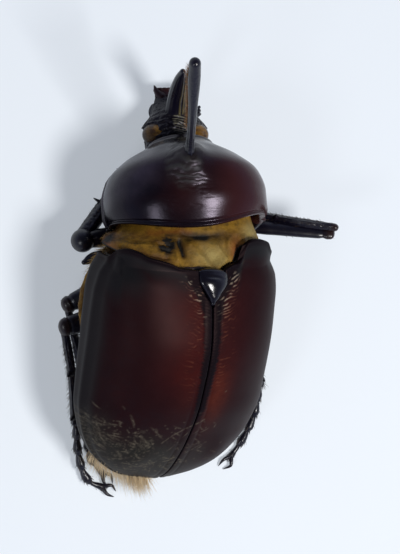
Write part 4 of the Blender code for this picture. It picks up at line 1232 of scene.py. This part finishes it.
def make_thorax():
    """The middle and hind thorax: its plates and their seams, the knob at its left, and the soft flank."""
    angle = even_angles(0, TURN, 241, 9.0, 6.5, 2.3)[None, :-1]
    share = np.linspace(0.0, THORAX_BACK / ELYTRA_LONG, 110)[:, None]
    grid = core_points(share, angle)
    nose = core_points(np.zeros((12, 1)), angle)
    nose[..., ::2] *= np.linspace(0.7, 0.97, 12)[:, None, None]
    nose[..., 1] = np.linspace(0.9, 0.05, 12)[:, None]
    grid = np.concatenate([nose, grid])
    x, y, z = np.moveaxis(grid, -1, 0)
    below = ramp(z, 0.5, -1.5)
    seam = below * (hump(x, 0.12) + hump(y + 3.9 + 0.12 * np.abs(x), 0.12) + hump(np.abs(x) - 4.6, 0.12))
    seam = np.clip(seam, 0, 1)
    holes = 0.05 * pits(x, y, 0.45, 0.16, 9) * below
    grid = raised(grid, -0.14 * seam - holes + 0.05 * crinkle(grid, 1.6, 6))
    make_skin("thorax_plates", moved(REAR, grid), "belly", "thorax_shell", "thorax", seam=0.7 * seam)
    knob = tube(KNOB, knob_wide, knob_thick, rows=60, cols=40, rounds=8)[0]
    make_skin("thorax_side_plate", knob, "limb", "thorax_shell", "thorax")
    make_flank()
    return grid


def make_flank():
    """The soft strip of skin along the left flank."""
    grid, share, _ = tube(np.array(FLANK) + (FLANK_INSET, 0, 0), flank_soft, rows=120, cols=40, rounds=8)
    waves = 0.03 * np.sin(30 * share + 3 * mottle(grid, 0.9, 3))
    grid = raised(grid, waves + 0.06 * crinkle(grid, 0.6, 9))
    fold = 0.4 * ramp(mottle(grid, 0.7, 4), 0, 0.6)
    make_skin("thorax_soft_flank", moved(REAR, grid), "skin", "thorax_shell", "thorax", fold=fold)


def make_abdomen():
    """The abdomen's overlapping rings, which lie flat where they touch the floor."""
    angle = even_angles(0, TURN, 241, 9.0, 6.0, 2.3)[None, :-1]
    first, last = (THORAX_BACK + 0.3) / ELYTRA_LONG, 0.955
    share = np.linspace(first, last, 200)[:, None]
    rings = 5.5 * (share - first) / (last - first)
    step = rings - np.floor(rings)
    grid = core_points(share, angle, 0.3 * step ** 2)
    x, y, z = np.moveaxis(grid, -1, 0)
    seam = ramp(step, 0.9, 1.0) * ramp(z, 1.0, -1.0)
    relief = -0.12 * seam - 0.04 * pits(x, y, 0.5, 0.17, 12) + 0.04 * crinkle(grid, 1.4, 7)
    grid = moved(REAR, raised(grid, relief))
    grid[..., 2] = np.maximum(grid[..., 2], 0.0)
    make_skin("abdomen_rings", grid, "belly", "abdomen_shell", "abdomen", seam=0.6 * seam)
    return grid


# Folds of the waist, as (from, to, height, width): places are in the plane that the beetle's tipped
# sideways axis and +Y span, from the waist, in millimetres
WAIST_FOLDS = (
    ((0.9, 0.7), (3.3, -1.75), 0.38, 0.75),
    ((3.3, -1.75), (4.4, -0.5), 0.34, 0.7),
    ((4.4, -0.5), (3.65, 0.75), 0.30, 0.7),
    ((2.2, 0.35), (3.4, -1.5), -0.14, 0.45),
    ((0.4, 1.75), (4.3, 1.7), -0.2, 0.6),
    ((0.0, 1.1), (0.45, -0.25), -0.32, 0.36),
    ((-0.5, 0.9), (-0.2, -0.6), 0.28, 0.4),
    ((-1.9, 0.9), (-0.8, 0.7), -0.2, 0.34),
    ((-1.9, 0.45), (-0.9, 0.2), -0.2, 0.3),
    ((-6.5, 1.1), (-2.4, 0.6), 0.22, 0.5),
    ((-5.6, 0.6), (-1.2, -0.5), -0.25, 0.3),
    ((5.5, 1.5), (5.9, -0.6), -0.2, 0.5),
    ((6.3, 1.6), (6.2, 0.2), 0.2, 0.4),
    ((4.8, 1.2), (5.0, -0.9), 0.2, 0.35),
)


def along_plane(points):
    """Places in the plane that WAIST_FOLDS is drawn in."""
    tip = math.radians(-SIDE_TIP)
    away = points - np.array(WAIST)
    return np.stack([away[..., 0] * math.cos(tip) + away[..., 2] * math.sin(tip), away[..., 1]], axis=-1)


def make_waist():
    """The soft skin between the prothorax and the rear half: facets, folds and a pale peak behind, with shade
    painted in its hollows, creases and grooves and where it meets the wing cases.
    """
    angle = even_angles(0, TURN, 401, PRONOTUM_WIDE, PRONOTUM_TALL, 2.3)[None, :-1]
    near = moved(FRONT, pronotum_points(np.zeros((1, 1)), angle, RIM * 1.4 + 0.1, 0.9))[0]
    far = core_points(np.full((1, 1), 0.02), angle)[0]
    far[:, 1] += shoulder(far[:, 0]) - 0.3
    t = np.linspace(0, 1, 130)[:, None, None]
    swell = 1 + 0.06 * np.sin(math.pi * t)
    far_grid = moved(REAR, far[None] * np.concatenate([swell, np.ones_like(swell), swell], axis=2))
    grid = near[None] * (1 - t) + far_grid * t
    above = ramp(grid[..., 2], 8.0, 9.5)
    places = along_plane(grid)
    places = places + 0.12 * np.stack([mottle(grid, 0.8, 50), mottle(grid, 0.8, 51)], axis=-1)
    height, hollow = np.zeros(grid.shape[:2]), np.zeros(grid.shape[:2])
    for begin, end, tall, width in WAIST_FOLDS:
        lift = tall * np.clip(1 - away_from_line(places, begin, end) / width, 0, 1) ** 1.3
        height += lift
        hollow = np.maximum(hollow, -lift)
    sides = creases(grid, (3.0, 1.1, 3.0), 3)
    height = height * above + 0.3 * sides * (1 - above) + 0.04 * crinkle(grid, 0.9, 5, 3)
    height *= window(t[..., 0], 0.0, 0.1, 0.93, 1.0)
    grid = raised(grid, height)
    marks = waist_marks(grid, places)
    # Shade painted near black where the skin meets the base of the wing cases
    rim = ramp(np.linalg.norm(grid - far_grid[-1:], axis=-1), 0.35, 0.08)
    marks["dark"] = marks["dark"] + rim
    # Shade painted in the grooves of the folds, by their depth
    marks["fold"] = marks["fold"] + 2.0 * hollow
    marks = {name: np.clip(mark * above, 0, 1) for name, mark in marks.items()}
    # Shade painted in the low skin between the raised creases down the sides
    marks["fold"] = np.clip(marks["fold"] + 0.6 * (1 - sides) * (1 - above), 0, 1)
    make_skin("waist_folds", grid, "skin", "waist_skin", "waist", **marks)
    return grid


def waist_marks(grid, places):
    """Where the upper side of the waist is dark, pale, orange or shaded, with shade painted along two of its
    grooves; places are along_plane()'s.
    """
    u, v = np.moveaxis(places, -1, 0)
    blotch = spot(u, v, (-1.25, 0.7), (0.75, 0.75))
    blotch = 1.7 * blotch * ramp(crinkle(grid, (0.6, 0.3, 0.6), 13, 3), -0.55, 0.15)
    # Shade painted down the deep groove of WAIST_FOLDS that runs from (0.0, 1.1)
    slit_shade = hump(away_from_line(places, (0.0, 1.05), (0.42, -0.2)), 0.2)
    # Shade painted along the groove of WAIST_FOLDS across the front of the waist
    band_shade = spot(u, v, (1.9, 1.6), (2.6, 0.5)) * (1 + 0.4 * mottle(grid, 0.7, 14))
    corner = ramp(u, -5.8, -6.8) * ramp(v + 0.2 * mottle(grid, 0.6, 16), 0.8, 1.2)
    tent = spot(u, v, (3.2, -0.35), (1.5, 1.1))
    cream = spot(u, v, (7.0, 2.1), (0.9, 0.9))
    orange = spot(u, v, (5.6, 0.3), (0.6, 1.3)) + ramp(u, -5.4, -7.4)
    orange = orange + 0.6 * hump(away_from_line(places, (-3.0, 2.0), (1.0, 2.05)), 0.35)
    shaded = hump(away_from_line(places, (-7.0, 1.95), (-1.0, 1.35)), 0.5)
    shaded = shaded * ramp(mottle(grid, 0.9, 15), -0.5, 0.4)
    shaded = np.maximum(shaded, hump(away_from_line(places, (-5.0, 0.0), (-1.2, -0.9)), 0.6))
    dark = blotch * 1.3 + slit_shade * 1.3 + band_shade + corner
    return {"fold": 0.7 * shaded, "dark": dark, "tent": tent + cream, "orange": orange}


# Legs

# How full each limb is, by share of its length
femur_wide = profile((0, 0.62), (0.3, 1.0), (0.7, 0.9), (1, 0.8))
femur_thick = profile((0, 0.7), (0.4, 1.0), (1, 0.75))
tibia_thick = profile((0, 0.85), (0.5, 0.85), (1, 1.0))

TOOTH_WIDE = 0.95
TOOTH_LONG = 0.75
LIMB_RELIEF = 0.03
SHIN_STEPS = 40
FOOT_JOINTS = 5
JOINT_STEPS = 12

# Each coxa's places are in its half of the body, and the others where they stand. outward is the way that
# the teeth point, and teeth are their places by share of the shin. femur and tibia are each a width and a
# thickness, and stout says how much fuller than the solid's the shin is drawn.
LEGS = {
    "front_left": {
        "half": FRONT,
        "coxa": [(-1.5, 5.0, -4.4), (-2.6, 4.8, -4.9), (-3.6, 4.3, -5.0)],
        "knee": (-9.2, 1.3, 5.9),
        "shin": [(-9.3, 1.5, 5.8), (-6.2, 5.1, 3.7), (-3.0, 8.4, 1.8)],
        "foot": [(-1.9, 9.0, 1.1), (-0.7, 8.6, 0.55), (0.1, 7.5, 0.27)],
        "outward": (-0.95, 0.2, 0.25),
        "femur": (2.1, 1.9),
        "ball": 1.17,
        "shin_start": 1.3,
        "tibia": (1.6, 1.15),
        "stout": 1.3,
        "teeth": (0.95, 0.73, 0.51),
        "tooth_long": 1.15,
        "tooth_wide": 0.6,
    },
    "front_right": {
        "half": FRONT,
        "coxa": [(1.5, 5.1, -4.4), (3.0, 5.0, -4.9), (4.6, 4.7, -4.7)],
        "knee": (16.1, 2.1, 7.5),
        "shin": [(16.4, 2.7, 8.0), (13.0, 3.25, 7.0), (7.6, 4.3, 3.6)],
        "foot": [(6.5, 5.0, 2.2), (5.2, 5.3, 0.8), (3.9, 4.8, 0.27)],
        "outward": (0.1, 0.2, 0.97),
        "femur": (1.7, 1.15),
        "tibia": (1.5, 0.95),
        "teeth": (0.95, 0.78, 0.62),
    },
    "mid_left": {
        "half": REAR,
        "coxa": [(-1.5, -3.0, -4.9), (-2.3, -3.3, -5.4), (-3.0, -3.5, -5.3)],
        "knee": (-10.25, -5.1, 3.7),
        "shin": [(-10.2, -5.4, 3.6), (-8.8, -10.4, 2.3), (-8.0, -15.3, 1.35)],
        "foot": [(-7.75, -18.2, 0.85), (-7.2, -20.7, 0.5), (-5.9, -22.3, 0.27)],
        "outward": (0.35, 0, 0.93),
        "femur": (2.2, 1.7),
        "tibia": (1.5, 0.95),
        "teeth": (0.9, 0.55),
    },
    "mid_right": {
        "half": REAR,
        "coxa": [(1.5, -3.0, -4.9), (2.3, -3.3, -5.4), (3.0, -3.4, -5.3)],
        "knee": (8.1, -0.6, 2.9),
        "shin": [(8.1, -0.8, 2.7), (5.3, -2.3, 1.5), (2.2, -3.3, 0.8)],
        "foot": [(0.9, -3.9, 0.6), (-0.6, -4.6, 0.4), (-2.0, -5.6, 0.27)],
        "outward": (0, -1, 0),
        "femur": (2.2, 1.2),
        "tibia": (1.5, 0.85),
        "teeth": (0.95, 0.6),
    },
    "hind_left": {
        "half": REAR,
        "coxa": [(-1.5, -7.0, -5.1), (-2.6, -7.1, -5.4), (-3.6, -7.1, -5.2)],
        "knee": (-10.8, -7.3, 5.0),
        "shin": [(-10.8, -7.6, 4.9), (-9.75, -12.0, 3.4), (-9.0, -16.8, 1.9)],
        "foot": [(-8.75, -19.5, 1.3), (-8.1, -21.9, 0.75), (-7.3, -23.1, 0.5), (-5.9, -23.7, 0.27)],
        "outward": (-0.55, 0, 0.83),
        "femur": (2.4, 1.7),
        "tibia": (1.6, 1.0),
        "teeth": (0.95, 0.48),
    },
    "hind_right": {
        "half": REAR,
        "coxa": [(1.5, -7.0, -5.1), (2.6, -7.1, -5.4), (3.6, -7.0, -5.1)],
        "knee": (8.6, -4.6, 2.0),
        "shin": [(8.7, -4.9, 1.95), (9.6, -9.2, 1.6), (10.45, -13.3, 1.2)],
        "foot": [(10.1, -16.1, 0.85), (9.1, -18.6, 0.5), (7.6, -20.9, 0.27)],
        "outward": (0.15, 0, 0.98),
        "femur": (2.2, 1.3),
        "tibia": (1.5, 0.9),
        "teeth": (0.93, 0.5),
    },
}


def tibia_width(leg):
    """The width of a leg's shin by share of its length: it widens downward."""
    wide = leg["tibia"][0]
    start = leg.get("shin_start", 0.55 * wide)
    return profile((0, start), (0.15, 0.92 * start), (0.6, 0.74 * wide), (1, wide))


def spike(shape, root, tip, width, bend, rows=18):
    """Adds a tapered point from root to tip, bent aside by bend at its middle."""
    taper = profile((0, width), (0.5, 0.66 * width), (0.9, 0.26 * width), (1, 0.06 * width))
    flat = unit(np.cross(tip - root, (0.31, 0.87, 0.38)))
    line = [root, (root + tip) / 2 + bend, tip]
    grid, share, _ = tube(line, taper, flat=flat, rows=rows, cols=14, rounds=3)
    shape.add_grid(grid, {"joint": 0.3 * share})


def make_leg(name, leg):
    """One leg: its first joint, thigh, shin and foot, with their bristles."""
    coxa_line = moved(leg["half"], leg["coxa"])
    make_coxa(name, coxa_line)
    make_femur(name, leg, coxa_line[-1])
    make_tibia(name, leg)
    make_tarsus(name, leg)


def make_coxa(name, line):
    """The first joint of a leg."""
    wide, thick = profile((0, 2.0), (0.5, 2.4), (1, 1.7)), profile((0, 1.6), (1, 1.6))
    grid = tube(line, wide, thick, rows=50, cols=40)[0]
    grid = raised(grid, LIMB_RELIEF * crinkle(grid, 0.7, 2))
    make_skin(f"coxa_{name}_shell", grid, "limb", "hip", f"coxa_{name}")


def make_femur(name, leg, hip):
    """The thigh of a leg, with a collar at its knee, and a ball there where the leg has one."""
    knee = np.array(leg["knee"])
    wide, thick = leg["femur"]
    plane = unit(np.cross(knee - hip, np.array(leg["shin"][-1]) - knee))
    line = [hip, (hip + knee) / 2 + (0, 0, 0.35), knee]
    grid, share, _ = tube(
        line, lambda s: wide * femur_wide(s), lambda s: thick * femur_thick(s), plane, rows=100, cols=56)
    collar = -0.08 * hump(share - 0.93, 0.025) + 0.04 * hump(share - 0.97, 0.02)
    grid = raised(grid, 0.02 * crinkle(grid, 1.4, 4, 2) + collar)
    shape = Shape()
    shape.add_grid(grid, {"joint": ramp(share, 0.9, 1.0)})
    if "ball" in leg:
        shape.add_grid(knee + leg["ball"] * ball(80, 40))
    shape.build(f"femur_{name}_shell", "limb", "thigh", f"femur_{name}")
    add_bristles(f"femur_{name}_bristles", grid, share, FEMUR_BRISTLES, "thigh", f"femur_{name}")


def make_tibia(name, leg):
    """The shin of a leg: four ridges, a row of teeth and a spur at its end."""
    width = tibia_width(leg)
    stout = leg.get("stout", 1.0)
    wide, thick = leg["tibia"]
    line = smooth_path(leg["shin"], SHIN_STEPS + 1)
    way = unit(line[-1] - line[0])
    out = unit(np.array(leg["outward"], dtype=float))
    grid, share, angle = tube(
        leg["shin"], lambda s: stout * width(s), lambda s: stout * thick * tibia_thick(s), np.cross(out, way),
        rows=130, cols=56)
    ridges = 0.07 * np.maximum(np.cos(4 * angle), 0) ** 4 * ramp(share, 0.0, 0.2)
    pores = -0.035 * pits(angle * 0.6, share * 9, 0.42, 0.14, 7)
    grid = raised(grid, ridges + pores + LIMB_RELIEF * crinkle(grid, 0.8, 6))
    shape = Shape()
    shape.add_grid(grid, {"joint": ramp(share, 0.08, 0.0)})
    for place in leg["teeth"]:
        root = line[round(SHIN_STEPS * place)]
        tip = root + out * (0.5 * width(place) + leg.get("tooth_long", TOOTH_LONG)) + way * 0.35
        spike(shape, root + out * 0.05, tip, leg.get("tooth_wide", TOOTH_WIDE), -0.08 * way)
    spur = line[-1] - out * (0.3 * wide)
    spike(shape, spur - way * 0.3, spur + way * 1.25 - out * 0.25, 0.55, 0.08 * out)
    shape.build(f"tibia_{name}_shell", "limb", "shin", f"tibia_{name}")
    bristles = FORE_TIBIA_BRISTLES if name.startswith("front") else TIBIA_BRISTLES
    add_bristles(f"tibia_{name}_bristles", grid, share, bristles, "shin", f"tibia_{name}")


def make_tarsus(name, leg):
    """A foot of five joints, each flared at its end, the last with two hooked claws."""
    line = smooth_path([leg["shin"][-1], *leg["foot"]], FOOT_JOINTS * JOINT_STEPS + 1)
    ahead = unit(line[-1] - line[-5])
    across = unit(np.cross(ahead, (0, 0, 1)))
    size = profile((0, 0.42), (0.25, 0.62), (0.8, 0.92), (1, 0.7))
    last_size = profile((0, 0.42), (0.5, 0.52), (0.9, 0.72), (1, 0.56))
    shape, bristles = Shape(), Shape()
    for joint in range(FOOT_JOINTS):
        start = joint * JOINT_STEPS
        joint_line = line[start:start + JOINT_STEPS + 1:4]
        joint_size = last_size if joint == FOOT_JOINTS - 1 else size
        grid, share, _ = tube(joint_line, joint_size, rows=28, cols=26, rounds=4)
        grid = raised(grid, 0.02 * crinkle(grid, 0.4, joint))
        grid[..., 2] = np.maximum(grid[..., 2], 0.0)
        shape.add_grid(grid, {"joint": ramp(share, 0.15, 0.0)})
        roots, normals, down, places = scatter(grid, ramp(share, 0.5, 0.9), TOE_BRISTLES, 30 + joint)
        ways = normals * 0.6 + down * np.sign(np.sum(down * ahead, axis=1, keepdims=True))
        bristles.add_hairs(
            roots, ways, lengths=0.42, width=0.05, bends=SAG, places=places, seed=joint, steps=3)
    for side in (-1, 1):
        tip = line[-1] + ahead * 1.5 + across * (side * 0.3 + 0.25)
        tip[2] = 0.2
        hook = across * (side * 0.34 - 0.1) + (0, 0, 0.25)
        spike(shape, line[-1] - ahead * 0.15, tip, 0.52, hook, rows=26)
    shape.build(f"tarsus_{name}_shell", "limb", "foot", f"tarsus_{name}")
    bristles.build(f"tarsus_{name}_bristles", "black_bristle", "foot", f"tarsus_{name}", coat=True)


def add_bristles(piece, grid, share, bristles, slot, node):
    """Adds the bristles of a limb, leaning toward its end."""
    count, length = bristles
    roots, normals, down, places = scatter(grid, ramp(share, 0.02, 0.2), count, 40)
    draw = np.random.default_rng(len(piece))
    ways = normals * 0.7 + down * 0.75 + draw.normal(scale=0.15, size=roots.shape)
    lengths = length * draw.uniform(0.45, 1.0, count)
    plant(
        piece, "black_bristle", slot, node, roots - normals * 0.04, ways, down * 0.2,
        lengths=lengths, width=0.045, places=places, seed=3, steps=3)


# Hair of the body

def make_waist_hair(grid):
    """Short golden hair over the sides and the underside of the waist."""
    t = np.linspace(0, 1, len(grid))[:, None]
    weight = window(t, 0.02, 0.2, 0.7, 1.0) * ramp(grid[..., 2], 8.4, 6.5)
    roots, normals, ways, lengths, places = leaning_hairs(
        grid, weight, WAIST_HAIRS, 21, rise=0.45, run=0.9, spread=0.25, shortest=0.3, longest=0.75)
    plant(
        "waist_hair", "gold_hair", "waist_skin", "waist", roots - normals * ROOT_DEPTH, ways,
        -normals * 0.2, lengths=lengths, width=0.028, places=places, seed=23, steps=3)


def make_thorax_hair(grid):
    """Long golden hair over the plates of the breast."""
    behind = np.linspace(0, 1, len(grid))[:, None] + 0.12 * mottle(grid, 0.9, 70)
    weight = ramp(grid[..., 2], 0.8, -2.0) * ramp(behind, 0.98, 0.62)
    roots, normals, ways, lengths, places = leaning_hairs(
        grid, weight, BREAST_HAIRS, 24, rise=0.7, run=0.8, spread=0.25, shortest=0.6, longest=1.5)
    plant(
        "thorax_hair", "gold_hair", "thorax_shell", "thorax", roots - normals * ROOT_DEPTH, ways,
        -normals * 0.2, REAR, lengths=lengths, width=0.035, places=places, seed=26, steps=3)


def make_tail_fringe(grid):
    """The cream fringe round the tip of the abdomen, longest at its left corner, and a patch at its side."""
    rows, cols = grid.shape[:2]
    t = np.linspace(0, 1, rows)[:, None]
    turn = np.linspace(0, 1, cols)[None, :]
    side_patch = hump(turn - 0.55, 0.05) * window(t, 0.74, 0.82, 0.88, 0.95)
    weight = np.maximum(ramp(t, 0.9, 0.97), 1.6 * side_patch)
    roots, normals, ways, lengths, places = leaning_hairs(
        grid, weight, TAIL_HAIRS, 27, rise=0.4, run=1.1, spread=0.2, shortest=0.8, longest=1.9)
    left = ramp(np.abs(roots[:, 0] + 4.5), 3.2, 1.2)
    corner = ramp(-roots[:, 0], 6.0, 7.5)
    lengths *= (1 + 1.3 * left) * (1 + 0.7 * corner * (1 - left))
    ways = ways + np.outer(left, (0, -0.9, 0)) + np.outer(corner, (-0.7, -0.6, 0.1))
    plant(
        "tail_fringe", "cream_hair", "abdomen_shell", "abdomen", roots - normals * ROOT_DEPTH, ways, SAG,
        lengths=lengths, width=0.04, places=places, seed=29)


# Floor, camera and light

# Half the floor's width in metres, its two tones, and the colour and strength of its glow
FLOOR_REACH = 0.9
FLOOR_TONES = ((0.50, 0.53, 0.57), (0.53, 0.56, 0.59))
FLOOR_LIGHT = (0.87, 0.93, 0.98, 1.0)
FLOOR_GLOW = 0.39

# The photo's scale and height in pixels, the camera's sensor, how far away it stands and how it is tipped
PIXELS_PER_MM = 10.2
PHOTO_HIGH = 554
SENSOR_HIGH = 36
CAMERA_AWAY = 220.0
CAMERA_TIP = math.radians(15)

# Where the camera aims, from the waist, along its own three ways
CAMERA_AIM = (2.0, -2.3, 1.8)

# Each light's place from the waist and width in millimetres, power in watts and colour
LIGHTS = {
    "key_light": ((88, -58, 237), 72, 0.58, (1.0, 0.985, 0.96)),
    "second_light": ((-155, -106, 178), 64, 0.10, (0.94, 0.97, 1.0)),
}

# The room's light by height, from below to overhead
ROOM_STRENGTH = 0.9
ROOM_TONES = (
    (0.0, (0.58, 0.64, 0.84)), (0.28, (0.38, 0.42, 0.60)), (0.6, (0.10, 0.115, 0.17)),
    (1.0, (0.03, 0.035, 0.05)),
)


def floor_finish():
    """Plain, pale and dull, with a faint glow."""
    finish = Finish("pale_floor")
    tone = finish.blend(finish.noise(40.0, 2.0), *FLOOR_TONES)
    return finish.shell(
        tone, 0.8, Emission_Color=FLOOR_LIGHT, Emission_Strength=FLOOR_GLOW, Specular_IOR_Level=0.2)


def make_stage():
    """A plain pale floor, a little lit from below as a light table is."""
    mesh = bpy.data.meshes.new("floor")
    corners = [(x * FLOOR_REACH, y * FLOOR_REACH, 0) for x, y in ((-1, -1), (1, -1), (1, 1), (-1, 1))]
    mesh.from_pydata(corners, [], [(0, 1, 2, 3)])
    mesh.materials.append(floor_finish())
    linked("floor", mesh)


def make_camera():
    """The camera above the beetle, tipped with it as it lies in the photo."""
    across = np.array((math.cos(CAMERA_TIP), 0, math.sin(CAMERA_TIP)))
    up = np.array((0, 1.0, 0))
    back = np.array((-math.sin(CAMERA_TIP), 0, math.cos(CAMERA_TIP)))
    aim = np.array(WAIST) + CAMERA_AIM[0] * across + CAMERA_AIM[1] * up + CAMERA_AIM[2] * back
    data = bpy.data.cameras.new("camera")
    data.sensor_fit = "VERTICAL"
    data.sensor_height = SENSOR_HIGH
    data.lens = SENSOR_HIGH * CAMERA_AWAY / (PHOTO_HIGH / PIXELS_PER_MM)
    data.clip_start = 0.01
    camera = linked("camera", data)
    place = Matrix.Identity(4)
    for column, way in enumerate((across, up, back)):
        place.col[column][:3] = way
    place.translation = (aim + back * CAMERA_AWAY + SHIFT) * MM
    camera.matrix_world = place
    bpy.context.scene.camera = camera


def make_light(name, away, size, power, colour):
    """A round soft light, aimed at the waist, at a place in millimetres from it."""
    data = bpy.data.lights.new(name, "AREA")
    data.shape = "DISK"
    data.size = size * MM
    data.energy = power
    data.color = colour
    lamp = linked(name, data)
    target = Vector(WAIST) + Vector(SHIFT)
    lamp.location = (target + Vector(away)) * MM
    lamp.rotation_euler = Vector(away).to_track_quat("Z", "Y").to_euler()


def make_room():
    """A room that is pale round its walls and dark overhead."""
    world = bpy.data.worlds.new("room")
    world.use_nodes = True
    room = Nodes(world.node_tree)
    place = room.node("ShaderNodeTexCoord", output="Generated")
    height = room.node("ShaderNodeSeparateXYZ", {}, {0: place}, "Z")
    tone = room.node("ShaderNodeValToRGB", {"stops": ROOM_TONES}, {0: height})
    light = room.node("ShaderNodeBackground", {}, {"Color": tone, "Strength": ROOM_STRENGTH})
    room.node("ShaderNodeOutputWorld", {}, {"Surface": light})
    bpy.context.scene.world = world
    bpy.context.scene.view_settings.view_transform = "Standard"


make_pronotum()
make_pronotal_horn()
make_head()
make_head_horn()
make_eye(-1, "eye_left")
make_eye(1, "eye_right")
make_jaws()
make_mouthparts()
make_antenna(-1, "antenna_left", knuckle_out=1.6, club_reach=0.3)
make_antenna(1, "antenna_right", knuckle_out=2.0, club_reach=0.9)
make_elytron(-1, "elytron_left")
make_elytron(1, "elytron_right")
make_scutellum()
make_thorax_hair(make_thorax())
make_tail_fringe(make_abdomen())
make_waist_hair(make_waist())
for leg_name, leg in LEGS.items():
    make_leg(leg_name, leg)
make_stage()
make_camera()
for light_name, light in LIGHTS.items():
    make_light(light_name, *light)
make_room()
